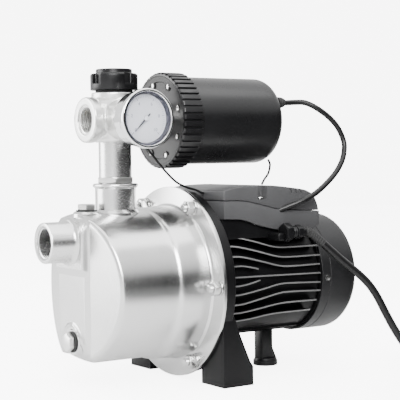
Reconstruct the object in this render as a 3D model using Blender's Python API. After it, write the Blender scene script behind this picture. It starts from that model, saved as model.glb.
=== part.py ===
"""Shallow well jet pump with an automatic pressure controller, as separate solid pieces.

Metres, +Z up. The shaft runs along Y: the suction port faces -Y, the fan cover is at +Y, and
the pressure gauge faces +X. Lengths along the shaft are counted from the front face of the
casing flange, and the empty "pump_frame" then centres the pump over the origin.
"""

import bmesh
import bpy
import numpy as np
from math import cos, pi, radians, sin, sqrt
from mathutils import Matrix, Vector

# ---- driving dimensions ----
gap = 0.0003                 # between pieces that touch
shaft_height = 0.1015
round_steps = 32             # sides of the large turned pieces

# casing and flange
casing_radius = 0.076
casing_rear_radius = 0.080
casing_wall = 0.002
bead_station = -0.038        # where the casing widens towards the flange
casing_nose = -0.1175        # front of the raised band
band_half_width = 0.027
facet_rear = -0.1025         # where the slanted facets meet the casing's side
flange_radius = 0.0996
flange_thickness = 0.004
bolt_circle = 0.0912
bolt_count = 6
stud_radius = 0.0039
nut_flats = 0.013
nut_height = 0.008

# water ports
suction_height = shaft_height + 0.0472
port_tip = casing_nose - 0.0306
port_radius = 0.0205
port_bore = 0.015
discharge_station = -0.0648
discharge_radius = 0.0209
discharge_rim_height = shaft_height + 0.1046
priming_station = -0.099
priming_seat = shaft_height + 0.0770
drain_height = shaft_height - 0.0535
drain_front = casing_nose
plug_thread_radius = 0.008
plug_flats = 0.017

# riser, five-way body and cap
pipe_radius = 0.0167
pipe_bore = 0.013
riser_hex = 0.035
body_height = shaft_height + 0.1691
body_radius = 0.022
body_port_radius = 0.0231
body_port_reach = 0.035
body_bore = 0.015
side_port_radius = 0.0215
body_bottom = body_height - 0.0216
body_top = body_height + 0.0279
seat_bore = 0.0105
cap_radius = 0.0243
cap_top = body_height + 0.0520
thread_depth = 0.010
valve_lift = 0.008

# gauge
gauge_face = 0.0671
gauge_radius = 0.0296
gauge_depth = 0.026
gauge_hex = 0.019

# pressure controller
controller_front = -0.012
controller_rear = 0.123
controller_radius = 0.046
ring_radius = 0.0502
ring_length = 0.024
controller_wall = 0.003

# bracket, motor and fan
bracket_radius = 0.097
bracket_thickness = 0.0125
leg_inner = 0.0504
leg_outer = 0.0908
leg_front = 0.005
leg_length = 0.0362
motor_front = 0.030
motor_rear = 0.153
motor_radius = 0.060
fin_reach = motor_radius + 0.006
fin_pitch = 0.0105
fin_thickness = 0.003
fins_each_side = 9
stator_radius = motor_radius - 0.008
rotor_radius = 0.029
shaft_radius = 0.0075
cover_radius = motor_radius + 0.005
cover_wall = 0.0015
cover_front = motor_rear + 0.002
cover_rear = cover_front + 0.052
foot_station = 0.1245
foot_radius = 0.0135

# terminal box
box_near = 0.058
box_far = -0.052
box_front = 0.030
box_rear = motor_rear + 0.003
box_wall = 0.0025
notch_front = 0.0735
notch_rear = 0.0855

# cables
gland_x = 0.0685
gland_height = shaft_height + 0.0498
gland_front = 0.098
mains_radius = 0.0043
controller_cable_radius = 0.003
sensor_wire_radius = 0.00125
coil_mid_radius = 0.047

# ---- worked out from them ----
frame_shift = -(port_tip + cover_rear) / 2
bracket_front = flange_thickness + gap
bracket_rear = bracket_front + bracket_thickness
wheel_seat = shaft_radius + gap

for old in list(bpy.data.objects):
    bpy.data.objects.remove(old)


def above_shaft(*points):
    """Points whose last value was counted from the shaft's height."""
    return [(*point[:-1], shaft_height + point[-1]) for point in points]


pump_frame = bpy.data.objects.new("pump_frame", None)
pump_frame.location = (0, frame_shift, 0)
bpy.context.scene.collection.objects.link(pump_frame)


def finish(name, colour, roughness, metallic=0.0, alpha=1.0):
    """A plain Principled material."""
    material = bpy.data.materials.new(name)
    material.use_nodes = True
    shader = material.node_tree.nodes["Principled BSDF"]
    shader.inputs["Base Color"].default_value = (*colour, 1.0)
    shader.inputs["Roughness"].default_value = roughness
    shader.inputs["Metallic"].default_value = metallic
    shader.inputs["Alpha"].default_value = alpha
    return material


stainless = finish("stainless_steel", (0.62, 0.62, 0.61), 0.28, 1.0)
nickel = finish("nickel_plated_brass", (0.66, 0.65, 0.62), 0.30, 1.0)
zinc = finish("zinc_plated_steel", (0.70, 0.70, 0.68), 0.30, 1.0)
steel = finish("ground_steel", (0.55, 0.55, 0.55), 0.30, 1.0)
brass = finish("cast_brass", (0.72, 0.55, 0.28), 0.35, 1.0)
copper = finish("enamelled_copper", (0.60, 0.28, 0.12), 0.40, 0.8)
laminations = finish("stacked_laminations", (0.32, 0.33, 0.35), 0.50, 0.9)
black_paint = finish("black_painted_casting", (0.025, 0.025, 0.027), 0.45)
black_plastic = finish("black_plastic", (0.02, 0.02, 0.022), 0.38)
grey_plastic = finish("grey_plastic", (0.14, 0.14, 0.145), 0.50)
pale_plastic = finish("pale_plastic", (0.78, 0.78, 0.74), 0.45)
rubber = finish("black_rubber", (0.02, 0.02, 0.02), 0.70)
dial_white = finish("white_dial", (0.86, 0.86, 0.90), 0.50)
needle_black = finish("black_needle", (0.01, 0.01, 0.01), 0.40)
clear_glass = finish("clear_glass", (0.95, 0.96, 0.97), 0.03, 0.0, 0.3)
board_green = finish("circuit_board", (0.05, 0.22, 0.10), 0.50)
graphite = finish("carbon_graphite", (0.09, 0.09, 0.10), 0.40)
cord_black = finish("black_cord_jacket", (0.018, 0.018, 0.018), 0.45)

on_axis = {
    "X": Matrix(((0, 0, 1), (1, 0, 0), (0, 1, 0))),
    "Y": Matrix(((1, 0, 0), (0, 0, 1), (0, 1, 0))),
    "Z": Matrix.Identity(3),
}


def place(name, shape, material, at=(0, 0, 0), parent=pump_frame):
    """Turns a bmesh into a closed object with its origin at the point given."""
    bmesh.ops.remove_doubles(shape, verts=shape.verts, dist=1e-6)
    bmesh.ops.recalc_face_normals(shape, faces=shape.faces)
    mesh = bpy.data.meshes.new(name)
    shape.to_mesh(mesh)
    shape.free()
    mesh.shade_smooth()
    mesh.set_sharp_from_angle(angle=radians(35))
    mesh.materials.append(material)
    piece = bpy.data.objects.new(name, mesh)
    piece.location = at
    piece.parent = parent
    bpy.context.scene.collection.objects.link(piece)
    return piece


def turned(name, profile, material, axis="Y", at=(0, 0, 0), parent=pump_frame, steps=None):
    """A profile of (radius, along) points spun about an axis. Its two ends either lie on the
    axis, or they meet. A third value in a point gives flats, for a hexagon: the radius is then
    half the width across them."""
    steps = steps or round_steps
    shape = bmesh.new()
    rings = [shape.verts.new((point[0], 0, point[1])) for point in profile]
    edges = [shape.edges.new(pair) for pair in zip(rings, rings[1:])]
    if profile[0][0] > 0:
        edges.append(shape.edges.new((rings[-1], rings[0])))
    bmesh.ops.spin(shape, geom=rings + edges, axis=(0, 0, 1), cent=(0, 0, 0),
                   angle=2 * pi, steps=steps, use_merge=True)
    flats = {(round(p[0], 6), round(p[1], 6)): p[2] for p in profile if len(p) > 2}
    for vertex in shape.verts:
        radius = vertex.co.xy.length
        sides = flats.get((round(radius, 6), round(vertex.co.z, 6)))
        if sides:
            turn = np.arctan2(vertex.co.y, vertex.co.x) % (2 * pi / sides) - pi / sides
            vertex.co.xy *= 1 / cos(turn)
    if axis != "Z":
        shape.transform(Matrix.Rotation(pi / steps, 4, "Z"))
    shape.transform(on_axis[axis].to_4x4())
    return place(name, shape, material, at, parent)


def extruded(name, outline, low, high, material, axis="X", at=(0, 0, 0), parent=pump_frame):
    """A flat outline pushed along an axis. The outline's two values are (y, z) along X,
    (x, z) along Y and (x, y) along Z."""
    shape = bmesh.new()
    corners = [shape.verts.new((u, v, low)) for u, v in outline]
    face = shape.faces.new(corners)
    grown = bmesh.ops.extrude_face_region(shape, geom=[face])
    moved = [item for item in grown["geom"] if isinstance(item, bmesh.types.BMVert)]
    bmesh.ops.translate(shape, verts=moved, vec=(0, 0, high - low))
    shape.transform(on_axis[axis].to_4x4())
    return place(name, shape, material, at, parent)


def block(name, low, high, material):
    """A box between two corners."""
    outline = [(low[0], low[1]), (high[0], low[1]), (high[0], high[1]), (low[0], high[1])]
    return extruded(name, outline, low[2], high[2], material, axis="Z")


def combine(piece, helper, operation="DIFFERENCE"):
    """Cuts a piece with a hidden helper, or joins or trims it to one."""
    step = piece.modifiers.new(helper.name, "BOOLEAN")
    step.object = helper
    step.operation = operation
    # the exact solver leaves open edges where these two pieces' many round shapes cross
    step.solver = "MANIFOLD" if piece.name in ("pump_casing", "five_way_body") else "EXACT"
    helper.hide_render = True
    helper.display_type = "WIRE"


def rod(name, radius, low, high, axis="Y", at=(0, 0, 0), steps=None, material=steel):
    """A plain round bar, used as a helper."""
    profile = [(0, low), (radius, low), (radius, high), (0, high)]
    return turned(name, profile, material, axis, at, steps=steps)


def wire(name, points, radius, material, resolution=2):
    """A round wire straight from point to point."""
    curve = bpy.data.curves.new(name, "CURVE")
    curve.dimensions = "3D"
    curve.bevel_depth = radius
    curve.bevel_resolution = resolution
    curve.use_fill_caps = True
    spline = curve.splines.new("POLY")
    spline.points.add(len(points) - 1)
    for target, point in zip(spline.points, points):
        target.co = (*point, 1)
    curve.materials.append(material)
    piece = bpy.data.objects.new(name, curve)
    piece.parent = pump_frame
    bpy.context.scene.collection.objects.link(piece)


def cable(name, points, radius):
    """A round cable along a smooth curve through the route's points."""
    route = np.array(points)
    spacing = np.linalg.norm(np.diff(route, axis=0), axis=1)
    knots = np.r_[0, np.cumsum(np.sqrt(spacing))]
    tangents = np.gradient(route, knots, axis=0)
    fine = []
    for i, span in enumerate(np.diff(knots)):
        pieces = max(1, int(round(spacing[i] / (5 * radius))))
        for t in np.arange(pieces) / pieces:
            fine.append(
                (2 * t**3 - 3 * t**2 + 1) * route[i]
                + (t**3 - 2 * t**2 + t) * span * tangents[i]
                + (3 * t**2 - 2 * t**3) * route[i + 1]
                + (t**3 - t**2) * span * tangents[i + 1]
            )
    wire(name, [*fine, route[-1]], radius, cord_black)


def empty(name, at, parent=pump_frame):
    """An axis that moving pieces hang on."""
    marker = bpy.data.objects.new(name, None)
    marker.location = at
    marker.parent = parent
    bpy.context.scene.collection.objects.link(marker)
    return marker


shaft_line = (0, 0, shaft_height)
body_centre = (0, discharge_station, body_height)
controller_line = (0, 0, body_height)


# ---- casing: a drawn stainless shell with a banded front ----
def casing_blank(name, inset):
    """The casing's outer shape, or its hollow when an inset is given."""
    nose = casing_nose + inset
    radius = casing_radius - inset
    rear = casing_rear_radius - inset
    profile = [(0, nose), (radius, nose), (radius, bead_station), (radius + 0.0025, bead_station + 0.005),
               (rear, -0.010)]
    if inset:
        profile += [(rear, flange_thickness + 0.002), (0, flange_thickness + 0.002)]
    else:
        profile += [(rear + 0.0022, -0.0020), (rear + 0.0028, 0.0), (flange_radius - 0.001, 0.0),
                    (flange_radius, 0.001), (flange_radius, flange_thickness), (0, flange_thickness)]
    blank = turned(name, profile, stainless, at=shaft_line)
    side = flange_radius + 0.01
    half = band_half_width - inset
    shoulder = half + 0.002
    shoulder_y = casing_nose + 0.003 + inset
    facet_edge = facet_rear + inset
    slope = (facet_edge - shoulder_y) / (casing_radius - shoulder)
    outer_edge = shoulder_y + slope * (side - shoulder)
    front = nose if inset else nose - 0.001
    plan = [(-side, 0.02), (-side, outer_edge), (-shoulder, shoulder_y), (-half, front),
            (half, front), (shoulder, shoulder_y), (side, outer_edge), (side, 0.02)]
    plan_helper = extruded(name + "_plan", plan, -0.02, 0.24, stainless, axis="Z")
    low, high = shaft_height - casing_radius, shaft_height + casing_radius
    upright = [(nose + 0.026, low - 0.004), (nose + 0.008, low + 0.012), (nose + 0.003, low + 0.032),
               (nose + 0.0005, low + 0.075), (nose + 0.0005, high - 0.028),
               (nose + 0.005, high - 0.010), (nose + 0.021, high + 0.004)]
    upright += [(-0.08, 0.24), (0.02, 0.24), (0.02, -0.02), (-0.08, -0.02)]
    side_helper = extruded(name + "_side", upright, -side, side, stainless)
    combine(blank, plan_helper, "INTERSECT")
    combine(blank, side_helper, "INTERSECT")
    return blank


def bolt_places():
    """The six bolt centres around the shaft, in the flange's plane."""
    for i in range(bolt_count):
        turn = 2 * pi * i / bolt_count
        yield bolt_circle * cos(turn), shaft_height + bolt_circle * sin(turn)


def bolt_holes(name, low, high):
    """One helper that holds all the bolt holes."""
    shape = bmesh.new()
    for x, z in bolt_places():
        where = Matrix.Translation((x, (low + high) / 2, z)) @ Matrix.Rotation(pi / 2, 4, "X")
        bmesh.ops.create_cone(shape, cap_ends=True, segments=12, radius1=stud_radius + gap,
                              radius2=stud_radius + gap, depth=high - low, matrix=where)
    return place(name, shape, steel)


pump_casing = casing_blank("pump_casing", 0)
port_base = casing_nose + 0.006
suction_boss = turned(
    "suction_boss",
    [(0, port_base), (port_radius + 0.007, port_base), (port_radius + 0.002, casing_nose - 0.002),
     (port_radius, casing_nose - 0.006), (port_radius, port_tip), (0, port_tip)],
    stainless, at=(0, 0, suction_height), steps=24)
stub_base = shaft_height + casing_radius - 0.006
discharge_stub = turned(
    "discharge_stub",
    [(0, stub_base), (discharge_radius + 0.003, stub_base), (discharge_radius, stub_base + 0.010),
     (discharge_radius, discharge_rim_height - 0.004),
     (discharge_radius + 0.0012, discharge_rim_height - 0.003),
     (discharge_radius + 0.0012, discharge_rim_height), (0, discharge_rim_height)],
    stainless, axis="Z", at=(0, discharge_station, 0), steps=24)
priming_boss = rod("priming_boss", 0.012, priming_seat - 0.0135, priming_seat, "Z",
                   (0, priming_station, 0), 20)
drain_boss = rod("drain_boss", 0.013, drain_front, drain_front + 0.0225,
                 at=(0, 0, drain_height), steps=20)
for helper in (suction_boss, discharge_stub, priming_boss, drain_boss):
    combine(pump_casing, helper, "UNION")
combine(pump_casing, casing_blank("casing_hollow", casing_wall))
plug_hole = plug_thread_radius + gap
combine(pump_casing, rod("suction_bore", port_bore, port_tip - 0.01, casing_nose + 0.0275,
                         at=(0, 0, suction_height), steps=24))
combine(pump_casing, rod("discharge_bore", port_bore, stub_base - 0.02, discharge_rim_height + 0.01, "Z",
                         (0, discharge_station, 0), 24))
combine(pump_casing, rod("priming_hole", plug_hole, priming_seat - 0.0285, priming_seat + 0.01, "Z",
                         (0, priming_station, 0), 20))
combine(pump_casing, rod("drain_hole", plug_hole, drain_front - 0.01, drain_front + 0.03,
                         at=(0, 0, drain_height), steps=20))
combine(pump_casing, bolt_holes("casing_bolt_holes", -0.01, flange_thickness + 0.01))


def hex_plug(name, seat, tip, axis, at):
    """A hexagon-headed plug: its thread runs from the seat to the tip."""
    outward = 1 if seat > tip else -1
    first = seat + outward * gap
    washer = first + outward * 0.0012
    last = washer + outward * 0.006
    collar = 0.0108
    profile = [(0, tip), (plug_thread_radius, tip), (plug_thread_radius, first), (collar, first),
               (collar, washer), (plug_flats / 2, washer, 6), (plug_flats / 2, last, 6), (0, last)]
    turned(name, profile, nickel, axis, at, steps=24)


hex_plug("priming_plug", priming_seat, priming_seat - 0.0105, "Z", (0, priming_station, 0))
hex_plug("drain_plug", drain_front, drain_front + 0.0155, "Y", (0, 0, drain_height))

stud_rear = bracket_rear - 0.002
for number, (x, z) in enumerate(bolt_places(), start=1):
    nut_seat = -gap
    washer = nut_seat - 0.0014
    nut_front = washer - nut_height
    stud_tip = nut_front - 0.004
    turned(f"flange_stud_nut_{number}",
           [(0, stud_rear), (stud_radius, stud_rear), (stud_radius, nut_seat), (0.0076, nut_seat),
            (0.0076, washer), (nut_flats / 2, washer, 6), (nut_flats / 2, nut_front, 6),
            (stud_radius, nut_front), (stud_radius, stud_tip), (0, stud_tip)],
           zinc, at=(x, 0, z), steps=12)

# ---- hydraulics inside the casing ----
spigot_radius = casing_rear_radius - casing_wall - 0.0038
plate_radius = bolt_circle - stud_radius - 0.0033
plate_thickness = 0.002
seal_bore = 0.0155
plate_rear = bracket_front + plate_thickness
turned("seal_plate",
       [(seal_bore, 0.0008), (spigot_radius, 0.0008), (spigot_radius, bracket_front),
        (plate_radius, bracket_front), (plate_radius, plate_rear), (seal_bore, plate_rear)],
       stainless, at=shaft_line)
ring_section = 0.00155
ring_middle = (spigot_radius + casing_rear_radius - casing_wall) / 2
section = [(ring_middle + ring_section * cos(a), 0.0024 + ring_section * sin(a))
           for a in np.linspace(0, 2 * pi, 6, endpoint=False)]
turned("casing_o_ring", section, rubber, at=shaft_line)

diffuser_radius = 0.066
diffuser_rear = 0.0002
impeller_radius = 0.056
impeller_hub = 0.013
turned("diffuser",
       [(0.0145, -0.040), (0.020, -0.040), (0.022, -0.034), (diffuser_radius, -0.031),
        (diffuser_radius, diffuser_rear), (diffuser_radius - 0.003, diffuser_rear),
        (diffuser_radius - 0.003, -0.028), (0.0145, -0.030)],
       pale_plastic, at=shaft_line, steps=24)
turned("venturi_tube",
       [(0.0115, -0.088), (0.0138, -0.088), (0.0138, -0.080), (0.0100, -0.072), (0.0100, -0.052),
        (0.0140, -0.036), (0.0118, -0.036), (0.0062, -0.056), (0.0062, -0.070)],
       pale_plastic, at=shaft_line, steps=24)
turned("ejector_nozzle",
       [(0.0055, -0.1005), (0.0135, -0.1005), (0.0135, -0.0945), (0.0090, -0.0940), (0.0050, -0.0800),
        (0.0030, -0.0800)],
       brass, at=shaft_line, steps=24)

rotor_axis = empty("rotor_axis", shaft_line)


def bladed_outline(hub, tip, count, thickness, sweep):
    """The outline of a hub with curved blades, going round once."""
    outline = []
    stations = np.linspace(hub, tip, 4)
    for blade in range(count):
        start = 2 * pi * blade / count
        for side, radii in ((-1, stations), (1, stations[::-1])):
            for radius in radii:
                bend = sweep * (radius - hub) / (tip - hub)
                turn = start - bend + side * thickness / 2 / radius
                outline.append((radius * cos(turn), radius * sin(turn)))
        between = start + pi / count
        outline.append((hub * cos(between), hub * sin(between)))
    return outline


impeller = turned("impeller",
                  [(wheel_seat, -0.010), (impeller_hub, -0.010), (impeller_radius, -0.010),
                   (impeller_radius, -0.0075), (impeller_hub, -0.0075), (impeller_hub, -0.0050),
                   (wheel_seat, -0.0050)],
                  brass, parent=rotor_axis, steps=24)
blade_outline = bladed_outline(impeller_hub - 0.002, impeller_radius - 0.001, 6, 0.0025, radians(50))
impeller_blades = extruded("impeller_blades", blade_outline, -0.026, -0.009, brass, axis="Y",
                           parent=rotor_axis)
combine(impeller_blades, rod("impeller_bore", wheel_seat, -0.03, 0.0, at=shaft_line, steps=24))
combine(impeller, impeller_blades, "UNION")

turned("seal_head",
       [(wheel_seat, -0.0045), (0.0125, -0.0045), (0.0125, 0.0005), (0.0105, 0.0015),
        (0.0105, 0.0035), (wheel_seat, 0.0035)],
       graphite, parent=rotor_axis, steps=24)
turned("seal_seat",
       [(shaft_radius + 0.0008, 0.0038), (seal_bore - gap, 0.0038), (seal_bore - gap, plate_rear + 0.002),
        (shaft_radius + 0.0008, plate_rear + 0.002)],
       pale_plastic, at=shaft_line, steps=24)

# ---- rotor: shaft, core and fan ----
shaft_front = -0.028
fan_front = cover_front + 0.020
fan_rear = fan_front + 0.016
turned("motor_shaft",
       [(0, shaft_front), (shaft_radius - 0.001, shaft_front), (shaft_radius, shaft_front + 0.001),
        (shaft_radius, fan_rear + 0.003), (0, fan_rear + 0.003)],
       steel, parent=rotor_axis, steps=24)
stack_front, stack_rear = motor_front + 0.026, motor_rear - 0.031
turned("rotor_core",
       [(wheel_seat, stack_front - 0.004), (rotor_radius, stack_front - 0.004),
        (rotor_radius, stack_rear + 0.004), (wheel_seat, stack_rear + 0.004)],
       laminations, parent=rotor_axis, steps=24)
fan_radius = cover_radius - cover_wall - 0.009
cooling_fan = extruded("cooling_fan", bladed_outline(0.016, fan_radius, 7, 0.0022, 0.0),
                       fan_front, fan_rear, black_plastic, axis="Y", parent=rotor_axis)
combine(cooling_fan, rod("fan_bore", wheel_seat, fan_front - 0.01, fan_rear + 0.01, at=shaft_line,
                         steps=24))

# ---- motor bracket with two legs ----
neck_radius = motor_radius - 0.002
bearing_outer = 0.0175
bearing_width = 0.011
front_bearing_station = 0.018
recess_depth = plate_thickness + 2 * gap
hub_front = bracket_front + recess_depth
neck_wall = 0.005
neck_front = motor_front - gap
bearing_ring = bearing_outer + neck_wall
seal_pocket = seal_bore + 0.0015
shaft_way = shaft_radius + 0.002
motor_bracket = turned("motor_bracket",
                       [(seal_pocket, hub_front), (plate_radius + gap, hub_front),
                        (plate_radius + gap, bracket_front), (bracket_radius, bracket_front),
                        (bracket_radius, bracket_rear), (neck_radius + 0.003, bracket_rear),
                        (neck_radius, bracket_rear + 0.003), (neck_radius, neck_front),
                        (neck_radius - neck_wall, neck_front), (neck_radius - neck_wall, bracket_rear),
                        (bearing_ring, bracket_rear), (bearing_ring, neck_front),
                        (bearing_outer + gap, neck_front), (bearing_outer + gap, front_bearing_station - gap),
                        (shaft_way, front_bearing_station - gap), (shaft_way, hub_front + 0.004),
                        (seal_pocket, hub_front + 0.004)],
                       black_paint, at=shaft_line)
leg_rear = leg_front + leg_length
leg_outline = [(leg_front, 0), (leg_rear, 0), (leg_rear, 0.019), (leg_rear - 0.0035, 0.024),
               (0.025, 0.053), (0.0165, 0.076), (0.0135, 0.094), (leg_front, 0.094)]
for side, inner, outer in (("left", -leg_outer, -leg_inner), ("right", leg_inner, leg_outer)):
    leg = extruded(f"{side}_leg", leg_outline, inner, outer, black_paint)
    pocket = [(leg_front + 0.006, -0.01), (leg_rear - 0.004, -0.01), (leg_rear - 0.004, 0.017),
              (0.0225, 0.050), (leg_front + 0.012, 0.060), (leg_front + 0.006, 0.060)]
    combine(leg, extruded(f"{side}_leg_pocket", pocket, inner + 0.005, outer - 0.005, black_paint))
    combine(motor_bracket, leg, "UNION")
combine(motor_bracket, rod("plate_recess", plate_radius + gap, bracket_front - 0.01, hub_front, at=shaft_line))
combine(motor_bracket, bolt_holes("bracket_bolt_holes", bracket_front - 0.01, stud_rear + gap))


def bearing(name, front):
    """A ball bearing as one plain ring."""
    turned(name, [(wheel_seat, front), (bearing_outer, front), (bearing_outer, front + bearing_width),
                  (wheel_seat, front + bearing_width)], steel, at=shaft_line, steps=24)


bearing("front_bearing", front_bearing_station)

# ---- motor: housing, stator, windings and rear shield ----
box_base_line = above_shaft((box_front, 0.0662), (0.052, 0.0650), (0.062, 0.0625), (0.073, 0.0587),
                            (0.088, 0.0550), (0.101, 0.0525), (motor_rear, 0.0522))


def finned_outline():
    """A round motor body with level fins on both sides."""
    outline = []
    half = fin_thickness / 2
    for side in (1, -1):
        for row in range(fins_each_side):
            z = side * (row - (fins_each_side - 1) / 2) * fin_pitch
            for edge, out in ((-half, False), (-half, True), (half, True), (half, False)):
                level = z + side * edge
                reach = min(fin_reach, sqrt((fin_reach + 0.005) ** 2 - z**2))
                x = reach if out else sqrt(motor_radius**2 - level**2) - 0.001
                outline.append((side * x, level))
        for turn in np.linspace(radians(62), radians(118), 7):
            outline.append((side * motor_radius * cos(turn), side * motor_radius * sin(turn)))
    return outline


motor_housing = extruded("motor_housing", finned_outline(), motor_front, motor_rear, black_paint,
                         axis="Y", at=shaft_line)
pedestal_inset = 0.004
pedestal = extruded("terminal_pedestal",
                    [(y, z - gap) for y, z in box_base_line] + above_shaft((motor_rear, 0.0445), (box_front, 0.0445)),
                    box_far + pedestal_inset, box_near - pedestal_inset, black_paint)
combine(motor_housing, pedestal, "UNION")
combine(motor_housing, rod("motor_bore", stator_radius + gap, motor_front - 0.01, motor_rear + 0.01,
                           at=shaft_line))

turned("stator_core",
       [(rotor_radius + 0.001, stack_front), (stator_radius, stack_front), (stator_radius, stack_rear),
        (rotor_radius + 0.001, stack_rear)],
       laminations, at=shaft_line)
winding_depth = 0.016
for name, low in (("front_winding", stack_front - gap - winding_depth), ("rear_winding", stack_rear + gap)):
    high = low + winding_depth
    turned(name, [(rotor_radius + 0.003, low), (stator_radius - 0.006, low),
                  (stator_radius - 0.003, (low + high) / 2), (stator_radius - 0.006, high),
                  (rotor_radius + 0.003, high)],
           copper, at=shaft_line, steps=24)

shield_front = motor_rear + gap
shield_rear = shield_front + 0.014
shield_lip = shield_rear - 0.002
shield_radius = cover_radius - cover_wall - gap
rear_shield = turned("rear_shield",
                     [(bearing_outer + gap, shield_front), (bearing_ring, shield_front),
                      (bearing_ring, shield_rear - 0.004), (shield_radius - 0.005, shield_rear - 0.004),
                      (shield_radius - 0.005, cover_front), (shield_radius, cover_front),
                      (shield_radius, shield_rear), (shaft_way, shield_rear), (shaft_way, shield_lip),
                      (bearing_outer + gap, shield_lip)],
                     black_paint, at=shaft_line)
bearing("rear_bearing", shield_lip - gap - bearing_width)

# ---- fan cover ----
corner = 0.016
bend = [(cover_radius - corner * (1 - cos(turn)), cover_rear - corner * (1 - sin(turn)))
        for turn in np.linspace(0, pi / 2, 4)]
inner_bend = [(radius - cover_wall * cos(turn), along - cover_wall * sin(turn))
              for (radius, along), turn in zip(bend, np.linspace(0, pi / 2, 4))]
fan_cover = turned("fan_cover",
                   [(cover_radius, cover_front), *bend, (0, cover_rear), (0, cover_rear - cover_wall),
                    *reversed(inner_bend), (cover_radius - cover_wall, cover_front)],
                   black_paint, at=shaft_line)
slot_shape = bmesh.new()
slot_count = 8
for index in range(slot_count):
    where = (Matrix.Rotation(2 * pi * index / slot_count, 4, "Y")
             @ Matrix.Translation((0.030, cover_rear, 0)) @ Matrix.Diagonal((0.026, 0.02, 0.006, 1)))
    bmesh.ops.create_cube(slot_shape, size=1, matrix=where)
combine(fan_cover, place("fan_cover_slots", slot_shape, steel, shaft_line))
screw_station = cover_front + 0.0065
screw_height = shaft_height - 0.002
combine(fan_cover, rod("cover_screw_hole", 0.0023, 0.05, 0.07, "X", (0, screw_station, screw_height), 12))
combine(rear_shield, rod("shield_screw_hole", 0.0023, 0.053, 0.07, "X", (0, screw_station, screw_height), 12))
turned("fan_cover_screw",
       [(0, 0.0575), (0.0019, 0.0575), (0.0019, cover_radius + gap), (0.0036, cover_radius + gap),
        (0.0030, cover_radius + 0.0020), (0, cover_radius + 0.0026)],
       zinc, axis="X", at=(0, screw_station, screw_height), steps=16)

# ---- rear foot ----
foot_top = shaft_height - motor_radius - 2 * gap
foot_half = 0.0075
rear_foot = turned("rear_foot",
                   [(0, 0), (foot_radius, 0), (foot_radius, 0.006), (foot_radius - 0.002, 0.008), (0, 0.008)],
                   black_plastic, axis="Z", at=(0, foot_station, 0), steps=32)
post = extruded("foot_post",
                [(foot_station - 0.0095, 0.005), (foot_station + 0.0115, 0.005), (foot_station + 0.005, 0.020),
                 (foot_station + 0.005, foot_top - 0.0006), (foot_station - 0.0095, foot_top - 0.0006)],
                -foot_half, foot_half, black_plastic)
combine(rear_foot, post, "UNION")

# ---- terminal box ----
seam_line = above_shaft((box_rear, 0.0708), (0.140, 0.0713), (0.102, 0.0737), (0.088, 0.0767),
                        (0.075, 0.0797), (0.064, 0.0822), (0.052, 0.0840), (box_front, 0.0845))
base_line = box_base_line[:-1] + above_shaft((motor_rear - 0.003, 0.0521), (box_rear - 0.0005, 0.0565))
terminal_box_base = extruded("terminal_box_base", base_line + seam_line, box_far, box_near, grey_plastic)
pocket_floor = shaft_height + 0.0690
box_above = shaft_height + 0.14
inner_near = box_near - box_wall
screw_x = box_near - 0.005
screw_well = screw_x - 0.008
inner_plan = [(box_far + box_wall, box_front + box_wall), (inner_near, box_front + box_wall),
              (inner_near, notch_front - box_wall), (screw_well, notch_front - box_wall),
              (screw_well, notch_rear + box_wall), (inner_near, notch_rear + box_wall),
              (inner_near, box_rear - box_wall), (box_far + box_wall, box_rear - box_wall)]
combine(terminal_box_base, extruded("base_pocket", inner_plan, pocket_floor, box_above, grey_plastic, axis="Z"))
crown_line = above_shaft((box_front, 0.0957), (0.046, 0.0987), (0.070, 0.0999), (0.092, 0.0997), (0.117, 0.0970),
                         (0.139, 0.0935), (box_rear - 0.007, 0.0875), (box_rear - 0.002, 0.0785))
terminal_box_cover = extruded("terminal_box_cover",
                              crown_line + [(y, z + gap) for y, z in seam_line],
                              box_far, box_near, grey_plastic)
roof_rear = box_rear - 0.012
roof = [(y, z - box_wall) for y, z in crown_line[:-2]]
roof += above_shaft((roof_rear, 0.0805), (roof_rear, 0), (box_front, 0))
cover_pocket = extruded("cover_pocket", inner_plan, shaft_height, box_above, grey_plastic, axis="Z")
combine(cover_pocket, extruded("cover_roof", roof, box_far, box_near, grey_plastic), "INTERSECT")
combine(terminal_box_cover, cover_pocket)
notch_floor = shaft_height + 0.0853
notch_middle = (notch_front + notch_rear) / 2
combine(terminal_box_cover, block("screw_notch", (screw_x - 0.0055, notch_front, notch_floor),
                                  (box_near + 0.01, notch_rear, box_above), grey_plastic))
combine(terminal_box_cover, rod("box_screw_hole", 0.0024, pocket_floor, notch_floor + 0.003, "Z",
                                (screw_x, notch_middle, 0), 12))
turned("terminal_box_screw",
       [(0, notch_floor - 0.005), (0.002, notch_floor - 0.005), (0.002, notch_floor + gap),
        (0.0042, notch_floor + gap),
        (0.0038, notch_floor + 0.0024), (0, notch_floor + 0.0028)],
       zinc, axis="Z", at=(screw_x, notch_middle, 0), steps=16)
turned("run_capacitor",
       [(0, 0.050), (0.0118, 0.050), (0.0118, 0.102), (0, 0.102)],
       pale_plastic, at=(-0.025, 0, pocket_floor + 0.0122), steps=24)
saddle_radius = cover_radius + 0.0012
combine(terminal_box_base, rod("motor_saddle", saddle_radius, box_front - 0.01, box_rear + 0.01, at=shaft_line))
lead_outside, lead_inside = map(Vector, above_shaft((0.0675, 0.1265, 0.0827), (0.0500, 0.0925, 0.0680)))
lead_shape = bmesh.new()
lead_way = (lead_outside - lead_inside).to_track_quat("Z", "Y").to_matrix().to_4x4()
bmesh.ops.create_cone(lead_shape, cap_ends=True, segments=16, radius1=controller_cable_radius + 0.0005,
                      radius2=controller_cable_radius + 0.0005, depth=0.06,
                      matrix=Matrix.Translation((lead_outside + lead_inside) / 2) @ lead_way)
lead_hole = place("controller_lead_hole", lead_shape, steel)
combine(terminal_box_base, lead_hole)
combine(terminal_box_cover, lead_hole)

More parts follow.
